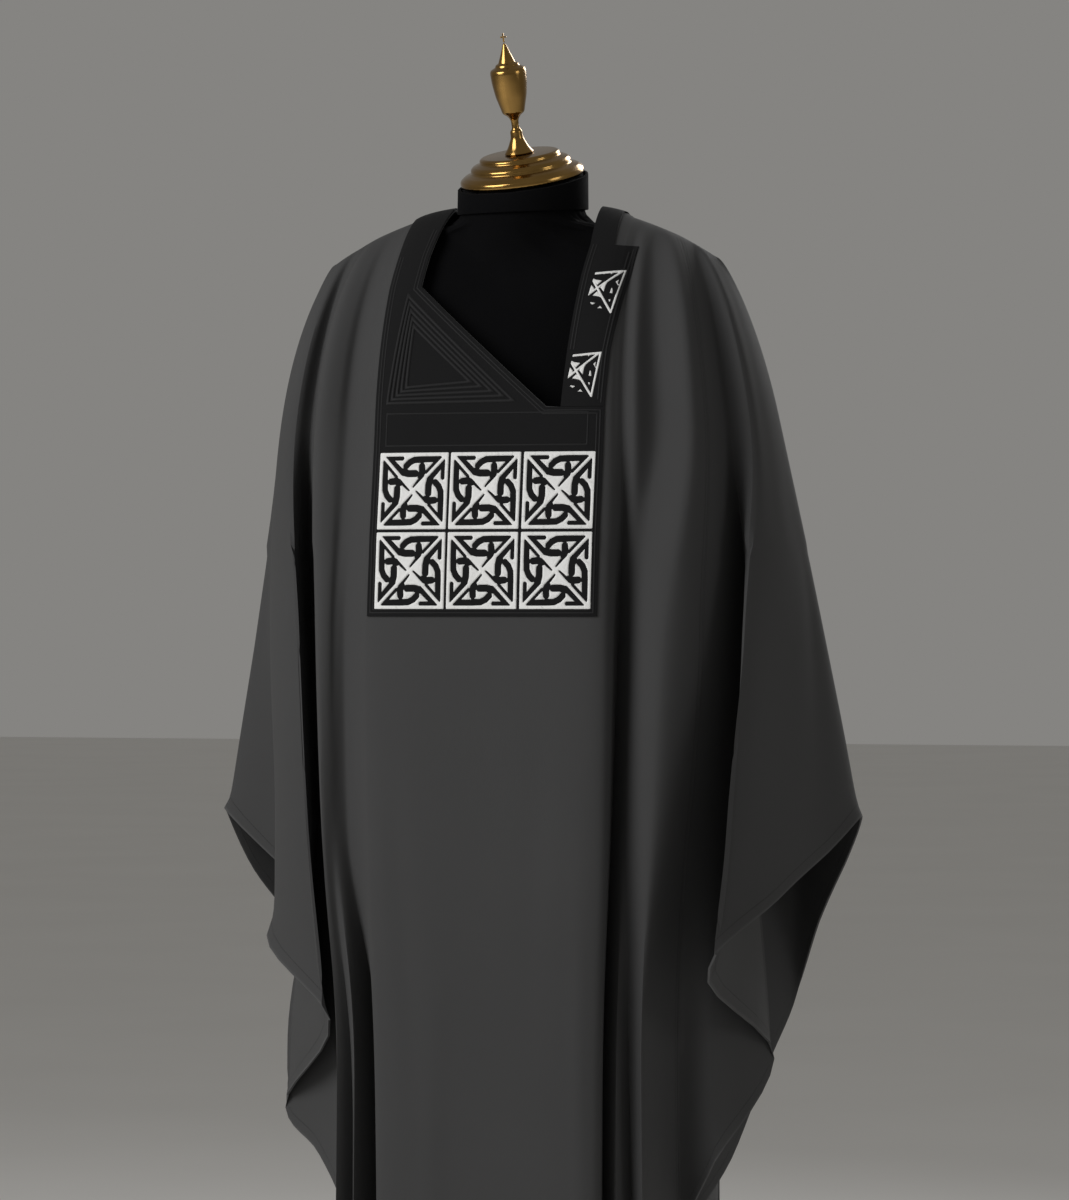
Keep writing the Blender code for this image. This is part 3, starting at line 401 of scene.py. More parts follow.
BACK_RIGHT = {
    "centre": ((0, 0, 0, 0, 0, 0), (-118, -128, -128, -135, -140, -150)),
    "panel": ((78, 56, 48, 42, 40, 38), (-115, -134, -143, -158, -166, -178)),
    "edge": ((102, 80, 66, 58, 55, 52), (-111, -124, -128, -134, -136, -140)),
    "valley": ((120, 102, 86, 76, 72, 68), (-106, -112, -106, -100, -96, -92)),
    "tent": ((134, 126, 112, 100, 96, 94), (-102, -116, -120, -132, -140, -150)),
    "under": ((150, 150, 140, 128, 124, 122), (-96, -100, -90, -92, -92, -90)),
    "bump": ((170, 178, 172, 162, 164, 170), (-90, -114, -130, -134, -138, -148)),
    "seam": ((184, 194, 190, 178, 160, 160), (-80, -82, -66, 0, 45, 45), 530),
    "cheek": ((195, 208, 208, 196, 190, 190), (-73, -90, -94, -58, -20, -20), 595),
    "deep": ((205, 220, 222, 216, 210, 210), (-65, -100, -120, -100, -85, -85), 650),
    "ridge": ((215, 234, 240, 236, 230, 230), (-57, -100, -134, -134, -130, -130), 735),
    "face": ((225, 254, 268, 268, 268, 268), (-46, -84, -116, -120, -120, -120), 807),
    "flank": ((235, 271, 298, 306, 306, 306), (-32, -60, -90, -95, -95, -95), 862),
    "tip": RIGHT_TIP,
}


def folds_from(table):
    """The folds of one table, in metres."""
    made = []
    for name, (across, forward, *cut) in table.items():
        across, forward = [mm / 1000 for mm in across], [mm / 1000 for mm in forward]
        made.append(Fold(FOLD_STARTS[name] / 1000, across, forward, cut[0] / 1000 if cut else HEM))
    return made


SEAM_FOLD = list(FOLD_STARTS).index("seam")
TIP_FOLD = len(FOLD_STARTS) - 1
BACK_SEAM_FOLD = 2 * TIP_FOLD - SEAM_FOLD
BACK_CENTRE_FOLD = 2 * TIP_FOLD
RINGS = {LEFT: folds_from(FRONT_LEFT) + folds_from(BACK_LEFT)[-2::-1],
         RIGHT: folds_from(FRONT_RIGHT) + folds_from(BACK_RIGHT)[-2::-1]}

# Creases, listed one by one: the fold's number and the height where each starts, the same where it
# ends, how far it reaches to each side in folds, and how high it stands. A trough is negative.
# Heights are in millimetres.
CREASES = {
    RIGHT: (
        (9, 1270, 9.8, 980, 0.6, -1.4), (11.1, 1250, 10.6, 940, 0.65, 1.6),
        (3.9, 1260, 4.8, 980, 0.8, -1.2), (6.4, 1250, 5.8, 800, 0.6, 1.4),
        (12.3, 1240, 12.8, 930, 0.45, -2), (0.7, 1060, 0.55, 600, 0.16, -1.2),
        (0.35, 860, 0.5, 350, 0.14, 1.3), (16.2, 1360, 15.5, 920, 0.6, -1.8),
        (19.3, 1300, 20.1, 800, 0.65, 1.8), (24.6, 1200, 25.2, 660, 0.22, -1.4),
    ),
    LEFT: (
        (9.4, 1260, 10.4, 980, 0.65, 1.6), (12.5, 1220, 11.7, 880, 0.55, -2),
        (5.6, 1260, 6.5, 960, 0.8, -1.2), (0.75, 1000, 0.86, 420, 0.12, 1.2),
        (0.45, 1080, 0.36, 700, 0.18, -1), (15, 1340, 14.2, 950, 0.55, 1.9),
        (18.2, 1280, 17.4, 780, 0.6, -1.6), (21.5, 1340, 22.3, 700, 0.6, 1.4),
        (25.4, 1280, 25.1, 500, 0.2, 1.6), (10.2, 860, 10, 660, 0.6, -1.6),
    ),
}


def shoulder_height(across):
    """Height of the line where the cloth folds over the shoulders."""
    return SHOULDER_TOP - SHOULDER_DROP * (abs(across) / SHOULDER_REACH) ** SHOULDER_POWER


def bell_slopes(start, behind):
    """How fast the cloth spreads across and forward at the first level, per metre of drop."""
    share = start / SHOULDER_REACH
    centre = BACK_SPREAD if behind else FRONT_SPREAD
    return TIP_SPREAD * share ** 4, centre + (TIP_FALL_BACK - centre) * share ** 3


def value_below(values, height, first):
    """A fold's distance under the first level, on a smooth curve through the table's values."""
    steps = [upper - lower for upper, lower in zip(LEVELS, LEVELS[1:])]
    rises = [(after - before) / step for before, after, step in zip(values, values[1:], steps)]
    slopes = [first]
    for before, after in zip(rises, rises[1:]):
        slopes.append(0.0 if before * after <= 0 else 2 * before * after / (before + after))
    slopes.append(rises[-1])
    height = max(height, LEVELS[-1])
    low = next(i for i in range(1, len(LEVELS)) if height >= LEVELS[i])
    step = steps[low - 1]
    t = (LEVELS[low - 1] - height) / step
    return ((1 + 2 * t) * (1 - t) ** 2 * values[low - 1] + t * (1 - t) ** 2 * step * slopes[low - 1]
            + t * t * (3 - 2 * t) * values[low] + t * t * (t - 1) * step * slopes[low])


def value_above(values, at_shoulder, height, top, roundness, slope):
    """A fold's distance on the round of the shoulder."""
    share = min(1.0, max(0.0, (top - height) / (top - LEVELS[0])))
    turned_down = math.sin(0.5 * math.pi * share ** roundness)
    line = values[0] + slope * (LEVELS[0] - height)
    line_at_top = values[0] + slope * (LEVELS[0] - top)
    return line + (at_shoulder - line_at_top) * (1 - turned_down)


def roundness_at(place):
    """How round the shoulder is at a fold: steep in front, flat behind."""
    own = FRONT_ROUNDNESS if place <= TIP_FOLD else BACK_ROUNDNESS
    fold = place if place <= TIP_FOLD else BACK_CENTRE_FOLD - place
    share = max(0.0, (fold - SEAM_FOLD) / (TIP_FOLD - SEAM_FOLD))
    return own + (TIP_ROUNDNESS - own) * share


def fold_point(side, place, height, top):
    """Where a fold passes a height: its distance across and forward."""
    mirrored = 1
    if place < 0 or place > BACK_CENTRE_FOLD:
        place = -place if place < 0 else 2 * BACK_CENTRE_FOLD - place
        side, mirrored = -side, -1
    fold = RINGS[side][place]
    spread, fall = bell_slopes(fold.start, place > TIP_FOLD)
    if height < LEVELS[0]:
        across, forward = value_below(fold.across, height, spread), value_below(fold.forward, height, fall)
    else:
        roundness = roundness_at(place)
        across = value_above(fold.across, fold.start, height, top, roundness, spread)
        forward = value_above(fold.forward, 0.0, height, top, roundness, fall)
    return Vector((mirrored * across, forward))


def curve_between(points, t):
    """A smooth curve from the second to the third of four points."""
    knots = [0.0]
    for before, after in zip(points, points[1:]):
        knots.append(knots[-1] + math.sqrt(max(1e-4, (after - before).length)))
    at = knots[1] + (knots[2] - knots[1]) * t
    row = list(points)
    for degree in (1, 2, 3):
        ends = [(i, i + degree) if degree < 3 else (1, 2) for i in range(len(row) - 1)]
        row = [row[i].lerp(row[i + 1], (at - knots[low]) / (knots[high] - knots[low]))
               for i, (low, high) in enumerate(ends)]
    return row[0]


def start_at(side, place):
    """Distance from the centre at which a place of the ring leaves the shoulder line."""
    low = min(int(place), BACK_CENTRE_FOLD - 1)
    before, after = RINGS[side][low].start, RINGS[side][low + 1].start
    return before + (after - before) * (place - low)


def cut_at(side, place):
    """Height of the sleeve mouth's edge at a place of the ring."""
    low = min(int(place), BACK_CENTRE_FOLD - 1)
    cuts = [RINGS[side][max(0, min(BACK_CENTRE_FOLD, low + i))].cut for i in (-1, 0, 1, 2)]
    if low == SEAM_FOLD:
        cuts[0] = 2 * cuts[1] - cuts[2]
    if low + 1 == BACK_SEAM_FOLD:
        cuts[3] = 2 * cuts[2] - cuts[1]
    t = place - low
    return 0.5 * (2 * cuts[1] + (cuts[2] - cuts[0]) * t
                  + (2 * cuts[0] - 5 * cuts[1] + 4 * cuts[2] - cuts[3]) * t * t
                  + (3 * cuts[1] - cuts[0] - 3 * cuts[2] + cuts[3]) * t ** 3)


def cloth_point(side, place, height, top):
    """A point of the cloth's middle surface."""
    low = min(int(place), BACK_CENTRE_FOLD - 1)
    four = [fold_point(side, low + i, min(height, top), top) for i in (-1, 0, 1, 2)]
    across, forward = curve_between(four, place - low)
    return Vector((side * across, -forward, min(height, top)))


def row_share(row):
    """Share of the way down at a row: close together on the shoulder, then even."""
    share = row / BODY_ROWS
    if share < EVEN_ROWS_FROM:
        return share ** 2 / (2 * EVEN_ROWS_FROM - EVEN_ROWS_FROM ** 2)
    return (2 * share - EVEN_ROWS_FROM) / (2 - EVEN_ROWS_FROM)


def column(side, place, last_row):
    """The points down one column of cloth: each with its side and place."""
    top = shoulder_height(start_at(side, place))
    cut = HEM
    if last_row == WING_ROWS:
        at_seam = place in (SEAM_FOLD, BACK_SEAM_FOLD)
        cut = top - (top - HEM) * row_share(WING_ROWS) if at_seam else cut_at(side, place)
    length = (top - cut) / row_share(last_row)
    heights = [top - length * row_share(row) for row in range(last_row + 1)]
    return [(cloth_point(side, place, height, top), side, place) for height in heights]


def places_between(first, last):
    """Places along the ring of folds, the wide middle panel in more steps."""
    places = [float(first)]
    for low in range(first, last):
        steps = PANEL_STEPS if low in (0, BACK_CENTRE_FOLD - 1) else FOLD_STEPS
        places += [low + i / steps for i in range(1, steps + 1)]
    return places


def crease_height(side, place, height):
    """How far the listed creases lift the cloth."""
    lift = 0.0
    for start, high, end, low, reach, crest in CREASES[side]:
        high, low = high / 1000, low / 1000
        along = (high - height) / (high - low)
        if 0 < along < 1:
            away = (place - (start + (end - start) * along)) / reach
            lift += crest / 1000 * math.exp(-away * away * 3) * math.sin(math.pi * along) ** 1.5
    return lift


def panel_columns(name):
    """All the columns of one panel, side by side."""
    if name in ("wing_left", "wing_right"):
        side = LEFT if name == "wing_left" else RIGHT
        made = [column(side, place, WING_ROWS) for place in places_between(SEAM_FOLD, BACK_SEAM_FOLD)]
        return made if side == LEFT else made[::-1]
    ends = (0, SEAM_FOLD) if name == "robe_front" else (BACK_SEAM_FOLD, BACK_CENTRE_FOLD)
    right, left = ([column(side, place, BODY_ROWS) for place in places_between(*ends)]
                   for side in (RIGHT, LEFT))
    return right[::-1] + left[1:] if name == "robe_front" else left + right[::-1][1:]


PANELS = ("robe_front", "robe_back", "wing_left", "wing_right")
sheet = bmesh.new()
panel_of = sheet.faces.layers.int.new("panel")
threads = sheet.loops.layers.uv.new("threads")
margins = sheet.loops.layers.uv.new("margins")
lift_of = sheet.verts.layers.float.new("lift")
for number, name in enumerate(PANELS):
    columns = panel_columns(name)
    count = len(columns[0])
    verts = []
    for points in columns:
        verts.append([])
        for place, side, at in points:
            vert = sheet.verts.new(place)
            vert[lift_of] = crease_height(side, at, place.z)
            verts[-1].append(vert)
    along = [[0.0] for _ in range(count)]
    down = [[0.0] for _ in columns]
    for here, beside in zip(verts, verts[1:]):
        for i in range(count):
            along[i].append(along[i][-1] + (here[i].co - beside[i].co).length)
    for k, points in enumerate(verts):
        for upper, lower in zip(points, points[1:]):
            down[k].append(down[k][-1] + (upper.co - lower.co).length)
    for k, (here, beside) in enumerate(zip(verts, verts[1:])):
        for i in range(count - 1):
            corners = ((k, i), (k, i + 1), (k + 1, i + 1), (k + 1, i))
            face = sheet.faces.new((here[i], here[i + 1], beside[i + 1], beside[i]))
            face[panel_of] = number
            for loop, (a, b) in zip(face.loops, corners):
                run, drop = along[b][a], down[a][b]
                loop[threads].uv = (run, drop)
                loop[margins].uv = (min(run, along[b][-1] - run), down[a][-1] - drop)
bmesh.ops.remove_doubles(sheet, verts=sheet.verts, dist=2e-6)
sheet.normal_update()

# The folds are softened: points move along their normals towards the middle of those round them,
# and hardly inwards where the cloth lies on the dress form
SOFTENINGS, SOFTENING, LIES_ABOVE, DEEPEST = 14, 0.5, 1.18, 0.0001
within_cloth = [vert for vert in sheet.verts if not vert.is_boundary]
drawn = {vert: vert.co.copy() for vert in within_cloth}
for _ in range(SOFTENINGS):
    shifts = {}
    for vert in within_cloth:
        around = sum((edge.other_vert(vert).co for edge in vert.link_edges), Vector()) / len(vert.link_edges)
        shifts[vert] = (around - vert.co).dot(vert.normal) * SOFTENING
    for vert, shift in shifts.items():
        vert.co += vert.normal * shift
for vert in within_cloth:
    if vert.co.z > LIES_ABOVE:
        sunk = (drawn[vert] - vert.co).dot(vert.normal)
        vert.co += vert.normal * max(0.0, sunk - DEEPEST)
for vert in sheet.verts:
    vert.co += vert.normal * vert[lift_of]
sheet.normal_update()


def seam_shift(vert, number):
    """Half the seam's gap, from a seam into the panel that the point belongs to."""
    inward = Vector()
    for edge in vert.link_edges:
        owners = {face[panel_of] for face in edge.link_faces}
        if number not in owners or len(owners) < 2:
            continue
        own = next(face for face in edge.link_faces if face[panel_of] == number)
        run = (edge.verts[1].co - edge.verts[0].co).normalized()
        across = own.calc_center_median() - edge.verts[0].co
        inward += (across - run * across.dot(run)).normalized()
    inward -= vert.normal * inward.dot(vert.normal)
    return inward.normalized() * (0.5 * SEAM_GAP) if inward.length > 1e-6 else inward


def wall_of(name, number, wall, lift, within=None):
    """One panel of the sheet, or what of it is within a box, as a closed wall of cloth."""
    faces = [face for face in sheet.faces if face[panel_of] == number]
    if within:
        (left, low), (right, high) = within
        middles = {face: face.calc_center_median() for face in faces}
        faces = [face for face in faces if left < middles[face].x < right and low < middles[face].z < high]
    bm = bmesh.new()
    layers = [(source, bm.loops.layers.uv.new(source.name)) for source in (threads, margins)]
    chosen = set(faces)
    outer, inner = {}, {}
    for vert in dict.fromkeys(vert for face in faces for vert in face.verts):
        place = vert.co + seam_shift(vert, number)
        outer[vert] = bm.verts.new(place + vert.normal * (lift + wall / 2))
        inner[vert] = bm.verts.new(place + vert.normal * (lift - wall / 2))

    def add(corners):
        made = bm.faces.new([vert for vert, _ in corners])
        for loop, (_, old) in zip(made.loops, corners):
            for source, target in layers:
                loop[target].uv = old[source].uv

    for face in faces:
        add([(outer[loop.vert], loop) for loop in face.loops])
        add([(inner[loop.vert], loop) for loop in reversed(face.loops[:])])
        for loop in face.loops:
            if sum(other in chosen for other in loop.edge.link_faces) == 1:
                a, b = loop, loop.link_loop_next
                add([(outer[b.vert], b), (outer[a.vert], a), (inner[a.vert], a), (inner[b.vert], b)])
    return mesh_from(bm, name)


def cutter(name, outline, near, far):
    """An outline across and up, swept in depth, for cutting cloth to shape."""
    bm = bmesh.new()
    face = bm.faces.new([bm.verts.new((across, near, up)) for across, up in outline])
    swept = bmesh.ops.extrude_face_region(bm, geom=[face])["geom"]
    moved = [item for item in swept if isinstance(item, bmesh.types.BMVert)]
    bmesh.ops.translate(bm, verts=moved, vec=(0, far - near, 0))
    bmesh.ops.recalc_face_normals(bm, faces=bm.faces)
    made = bpy.data.objects.new(name, mesh_from(bm, name))
    bpy.context.collection.objects.link(made)
    return made


def cut_to(piece, outline, near, far, operation):
    """The piece with the outline cut out of it, or cut down to the outline."""
    shape = cutter("shape", outline, near, far)
    cut = piece.modifiers.new("cut", "BOOLEAN")
    cut.operation, cut.object = operation, shape
    applied(piece)
    bpy.data.objects.remove(shape, do_unlink=True)
    return piece


RIB_SLANT = 0.8
HEM_STITCHES, SEAM_STITCHES, STITCH_LENGTH, STITCH_HALF_WIDTH = 0.012, 0.0035, 0.0034, 0.0003


def woven(name, dark, light, rib, **fixed):
    """Twill cloth: slanting ribs, uneven yarns, faint mottling and a line of stitches at the hem."""
    made = Finish(name, **fixed)
    run = made.node("UVMap", {"uv_map": "threads"})
    across = made.node("SeparateXYZ", {}, {0: run}, output="X")
    down = made.node("SeparateXYZ", {}, {0: run}, output="Y")
    edge = made.node("UVMap", {"uv_map": "margins"})
    from_seam = made.node("SeparateXYZ", {}, {0: edge}, output="X")
    from_hem = made.node("SeparateXYZ", {}, {0: edge}, output="Y")
    twill = (across * RIB_SLANT + down).wave(rib)
    warp = across.wave(rib * 0.5)
    stretch = made.node("VectorMath", {"operation": "MULTIPLY"}, {0: run, 1: (1.0, 0.05, 1.0)})
    yarns = made.noise(900, 2.0, stretch)
    mottle = made.noise(5.5, 4.0)
    tone = mottle * 0.6 + yarns * 0.25 + twill * 0.15
    worn = from_hem.band(0.0, 0.0008, 0.0022)
    lines = []
    for away, margin, run_of_line in ((from_hem, HEM_STITCHES, across), (from_seam, SEAM_STITCHES, down)):
        line = away.band(margin, STITCH_HALF_WIDTH, STITCH_HALF_WIDTH)
        lines.append(line * run_of_line.wave(STITCH_LENGTH).band(1.0, 0.7, 0.2))
    sewn = (lines[0] + lines[1]).math("MINIMUM", 1.0)
    colour = made.blend(tone, dark, light)
    colour = made.blend(worn * 0.35, colour, [2.0 * c for c in light])
    colour = made.blend(sewn * 0.8, colour, [0.55 * c for c in dark])
    relief = twill * 0.5 + warp * 0.2 + yarns * 0.3 + sewn * 1.5
    made.dress(colour, mottle * 0.08 + yarns * 0.06 + 0.74, relief, 0.00012)
    return made.material


charcoal = woven("charcoal_cloth", (0.036, 0.036, 0.0365), (0.052, 0.052, 0.0525), 0.0012,
                 sheen_weight=0.03, sheen_roughness=0.5, specular_ior_level=0.15)
NECK_RIGHT, NECK_LEFT, ABOVE_ROBE = -0.067, 0.078, 1.530
FRONT_NECK = ((NECK_RIGHT, ABOVE_ROBE), (NECK_RIGHT, 1.502), (-0.0710, 1.480), (-0.0747, 1.454),
              (-0.0770, 1.424), (0.0548, 1.3087), (0.0690, 1.3080), (0.0721, 1.3615),
              (0.0771, 1.4336), (0.0800, 1.4625), (NECK_LEFT, 1.500), (NECK_LEFT, ABOVE_ROBE))
BACK_NECK_DROP, BACK_NECK_POWER, NECK_STEPS = 0.034, 0.8, 40
FRONT_CUT, BACK_CUT = (-0.30, 0.03), (-0.03, 0.30)


def back_neck(widened):
    """The curve of the neck's edge behind, or a wider one round it, from right to left."""
    points = []
    for i in range(NECK_STEPS + 1):
        angle = math.pi * i / NECK_STEPS
        reach = 0.5 * (NECK_LEFT - NECK_RIGHT) + widened
        across = 0.5 * (NECK_LEFT + NECK_RIGHT) - reach * math.cos(angle)
        drop = (BACK_NECK_DROP + widened) * math.sin(angle) ** BACK_NECK_POWER
        points.append((across, shoulder_height(across) - drop))
    return points


behind_neck = [(NECK_RIGHT, ABOVE_ROBE)] + back_neck(0.0) + [(NECK_LEFT, ABOVE_ROBE)]
cloth = {}
for number, name in enumerate(PANELS):
    cloth[name] = add_piece(name + "_cloth", wall_of(name, number, WALL, 0.0), charcoal)
cut_to(cloth["robe_front"], FRONT_NECK, *FRONT_CUT, "DIFFERENCE")
cut_to(cloth["robe_back"], behind_neck, *BACK_CUT, "DIFFERENCE")
for name, piece in cloth.items():
    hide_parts(name)
    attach(piece, "root")

# ---------------------------------------------------------------------------------------------
# The black trims: the chest panel with its band up to the right shoulder, the strap up to the
# left one and the band round the neck behind, of close black twill laid on and sewn down.

CHEST_PANEL = ((-0.1107, 1.115), (0.1090, 1.115), (0.1095, 1.308), (0.0548, 1.308), (-0.0770, 1.424),
               (-0.0747, 1.454), (-0.0710, 1.480), (NECK_RIGHT, 1.502), (NECK_RIGHT, ABOVE_ROBE),
               (-0.1050, ABOVE_ROBE), (-0.1050, 1.500), (-0.1070, 1.454), (-0.1090, 1.424), (-0.1105, 1.308))
CHEST_STRAP = ((0.0690, 1.3083), (0.1095, 1.3083), (0.1119, 1.3615), (0.1205, 1.4336), (0.1225, 1.461),
               (0.1020, 1.462), (0.0990, 1.500), (0.0990, ABOVE_ROBE), (NECK_LEFT, ABOVE_ROBE),
               (NECK_LEFT, 1.500), (0.0800, 1.4625), (0.0771, 1.4336), (0.0721, 1.3615))
NECK_BAND_WIDTH, ROUND_TRIM = 0.024, 0.03
round_neck = behind_neck + [(NECK_LEFT + NECK_BAND_WIDTH, ABOVE_ROBE)] + back_neck(NECK_BAND_WIDTH)[::-1] + [
    (NECK_RIGHT - NECK_BAND_WIDTH, ABOVE_ROBE)]
black_twill = woven("black_trim", (0.0042, 0.0042, 0.0045), (0.0078, 0.0078, 0.0083), 0.0009,
                    sheen_weight=0.02, sheen_roughness=0.5, specular_ior_level=0.12)
TRIMS = {
    "chest_panel": ("robe_front", CHEST_PANEL, FRONT_CUT, (0.222, 0.420), 0.0590),
    "chest_strap": ("robe_front", CHEST_STRAP, FRONT_CUT, (0.055, 0.215), 0.0090),
    "neck_band": ("robe_back", round_neck, BACK_CUT, (0.200, 0.060), 0.0084),
}
trims = {}
for name, (under, outline, depths, flat, area) in TRIMS.items():
    reach = [[pick(values) for values in zip(*outline)] for pick in (min, max)]
    room = [[value - ROUND_TRIM for value in reach[0]], [value + ROUND_TRIM for value in reach[1]]]
    lift = (WALL + TRIM_WALL) / 2 + SEAM_GAP
    laid = wall_of(name, PANELS.index(under), TRIM_WALL, lift, room)
    trims[name] = cut_to(add_piece(name + "_twill", laid, black_twill), outline, *depths, "INTERSECT")
    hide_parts(name)
    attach(trims[name], "root")
    under + "_cloth"

# ---------------------------------------------------------------------------------------------
# Corded quilting on the black trims: soft cords caught down by stitching, in nested triangles,
# round the plain bar under them and in double rows along the edges.

front_of_panel = BVHTree.FromObject(trims["chest_panel"], bpy.context.evaluated_depsgraph_get())
front_of_strap = BVHTree.FromObject(trims["chest_strap"], bpy.context.evaluated_depsgraph_get())
SEEN_FROM, LOOKING = -1.0, Vector((0, 1, 0))


def on_surface(tree, across, up):
    """The point and the way out of a trim in front, at a distance across and a height."""
    hit, out, _, _ = tree.ray_cast(Vector((across, SEEN_FROM, up)), LOOKING)
    return hit, out


def corded(bm, tree, points, width, height, closed):
    """One cord laid along a line on a trim, half round, its corners mitred."""
    CORD_STEP = 0.004
    PROFILE = ((-0.5, -0.15), (-0.36, 0.62), (0.0, 1.0), (0.36, 0.62), (0.5, -0.15), (0.0, -0.35))
    points = [Vector(point) for point in points]
    runs = list(zip(points, points[1:] + points[:1])) if closed else list(zip(points, points[1:]))
    stations = []
    for k, (start, end) in enumerate(runs):
        run = (end - start).normalized()
        before = (runs[k - 1][1] - runs[k - 1][0]).normalized() if closed or k else run
        middle = (run + before).normalized()
        stations.append((start, Vector((-middle.y, middle.x)) / max(0.4, middle.dot(run))))
        steps = max(1, round((end - start).length / CORD_STEP))
        side = Vector((-run.y, run.x))
        stations += [(start.lerp(end, i / steps), side) for i in range(1, steps)]
    if not closed:
        run = (runs[-1][1] - runs[-1][0]).normalized()
        stations.append((runs[-1][1], Vector((-run.y, run.x))))
    rings = []
    for middle, side in stations:
        ring = []
        for share, rise in PROFILE:
            across, up = middle + side * (share * width)
            hit, out = on_surface(tree, across, up)
            if hit is None:
                break
            ring.append(bm.verts.new(hit + out * (rise * height)))
        if len(ring) == len(PROFILE):
            rings.append(ring)
    pairs = list(zip(rings, rings[1:])) + ([(rings[-1], rings[0])] if closed else [])
    for here, there in pairs:
        for i in range(len(PROFILE)):
            j = (i + 1) % len(PROFILE)
            bm.faces.new((here[i], here[j], there[j], there[i]))
    if not closed:
        bm.faces.new(rings[0][::-1])
        bm.faces.new(rings[-1])


def inset(outline, distance):
    """The outline moved inwards by a distance."""
    points = [Vector(point) for point in outline]
    turn = sum(a.x * b.y - b.x * a.y for a, b in zip(points, points[1:] + points[:1]))
    moved = []
    for k, corner in enumerate(points):
        before = (corner - points[k - 1]).normalized()
        after = (points[(k + 1) % len(points)] - corner).normalized()
        middle = (before + after).normalized()
        side = Vector((-middle.y, middle.x)) * math.copysign(1.0, turn)
        moved.append(corner + side * (distance / max(0.4, middle.dot(after))))
    return moved


TRIANGLE = ((-0.1005, 1.3110), (0.0290, 1.3120), (-0.0890, 1.4190))
INNER_TRIANGLE = ((-0.0780, 1.3293), (-0.0239, 1.3345), (-0.0770, 1.3820))
BAR = ((-0.0980, 1.2730), (0.0950, 1.2730), (0.0950, 1.3030), (-0.0980, 1.3030))
TRIANGLE_CORDS, CORD_WIDTH, CORD_HEIGHT = 5, 0.0031, 0.0012
EDGE_INSETS, EDGE_CORD_WIDTH, EDGE_CORD_HEIGHT = (0.0032, 0.0062), 0.0016, 0.0005
cords = bmesh.new()
for k in range(TRIANGLE_CORDS):
    share = (k + 0.5) / TRIANGLE_CORDS
    corners = [Vector(far).lerp(Vector(near), share) for far, near in zip(TRIANGLE, INNER_TRIANGLE)]
    corded(cords, front_of_panel, corners, CORD_WIDTH, CORD_HEIGHT, True)
corded(cords, front_of_panel, BAR, EDGE_CORD_WIDTH, EDGE_CORD_HEIGHT, True)
for distance in EDGE_INSETS:
    panel_edge = inset(CHEST_PANEL, distance)
    corded(cords, front_of_panel, panel_edge[11:] + panel_edge[:7], EDGE_CORD_WIDTH, EDGE_CORD_HEIGHT, False)
    strap_edge = inset(CHEST_STRAP, distance)
    corded(cords, front_of_strap, strap_edge[10:], EDGE_CORD_WIDTH, EDGE_CORD_HEIGHT, False)
    corded(cords, front_of_strap, strap_edge[1:5], EDGE_CORD_WIDTH, EDGE_CORD_HEIGHT, False)
bmesh.ops.recalc_face_normals(cords, faces=cords.faces)
cord_thread = Finish("black_cording", sheen_weight=0.03, specular_ior_level=0.2)
grain = cord_thread.noise(1400, 2.0)
cord_thread.dress(cord_thread.blend(grain, (0.0060, 0.0060, 0.0065), (0.0115, 0.0115, 0.0120)),
                  grain * 0.15 + 0.62, grain, 0.0001)
quilting = add_piece("corded_quilting", mesh_from(cords, "corded_quilting"), cord_thread.material, 50)
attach(quilting, "root")

# ---------------------------------------------------------------------------------------------
# White embroidery: six squares of hooked interlace on the chest panel and two pieces of it on
# the strap, in satin stitch of white thread that stands a little proud of the black twill.

# One quarter of the knot, from the centre of a square one unit wide. The white stitching fills
# the square but for these bars, where the black shows: each bar's width and its middle line.
KNOT_BARS = (
    (0.092, ((-0.375, 0.418), (-0.270, 0.328), (-0.185, 0.252), (-0.070, 0.226), (0.030, 0.226))),
    (0.056, ((-0.350, 0.425), (-0.170, 0.425))),
    (0.082, ((0.350, 0.416), (0.180, 0.412), (0.010, 0.404), (-0.060, 0.372), (-0.110, 0.322))),
    (0.082, ((0.375, 0.410), (0.290, 0.318), (0.215, 0.245))),
    (0.088, ((0.122, 0.320), (0.128, 0.240), (0.108, 0.190))),
    (0.062, ((-0.128, 0.088), (-0.052, 0.030))),
)
# White lines that run over the bars: a diagonal from each corner, and the square's frame
KNOT_LINES = ((0.046, ((-0.470, 0.470), (0.0, 0.0))), (0.050, ((-0.475, 0.475), (0.475, 0.475))))
# The outline that the strap's pieces are cut to, and how many of its edges have a white line
STRAP_OUTLINE = ((0.46, -0.46), (0.46, 0.44), (-0.15, 0.30), (-0.15, -0.27), (0.14, -0.40))
STRAP_EDGED, STRAP_EDGE_WIDTH, STRAP_BARS_WIDENED = 2, 0.046, 1.45


def all_quarters(lines, widened=1.0):
    """The stretches of each line in all four quarters: start, end and half the width."""
    made = []
    for quarter in range(4):
        turn = Matrix.Rotation(quarter * math.pi / 2, 2)
        for width, points in lines:
            moved = [turn @ Vector(point) for point in points]
            made += [(a, b, width * widened / 2) for a, b in zip(moved, moved[1:])]
    return made


def nearest(stretches, point):
    """Distance from a point to the edge of the nearest line, and how far along it."""
    best = (9.0, 0.0)
    for start, end, half_width in stretches:
        run = end - start
        along = (point - start).dot(run)
        away = point - start - run * max(0.0, min(1.0, along / run.length_squared))
        best = min(best, (away.length - half_width, along / run.length))
    return best


def inside_outline(outline, point, edges):
    """How deep a point is inside some edges of an outline."""
    ends = list(zip(outline, outline[1:] + outline[:1]))[:edges]
    runs = [(Vector(a), (Vector(b) - Vector(a)).normalized()) for a, b in ends]
    return min(run.x * (point.y - start.y) - run.y * (point.x - start.x) for start, run in runs)


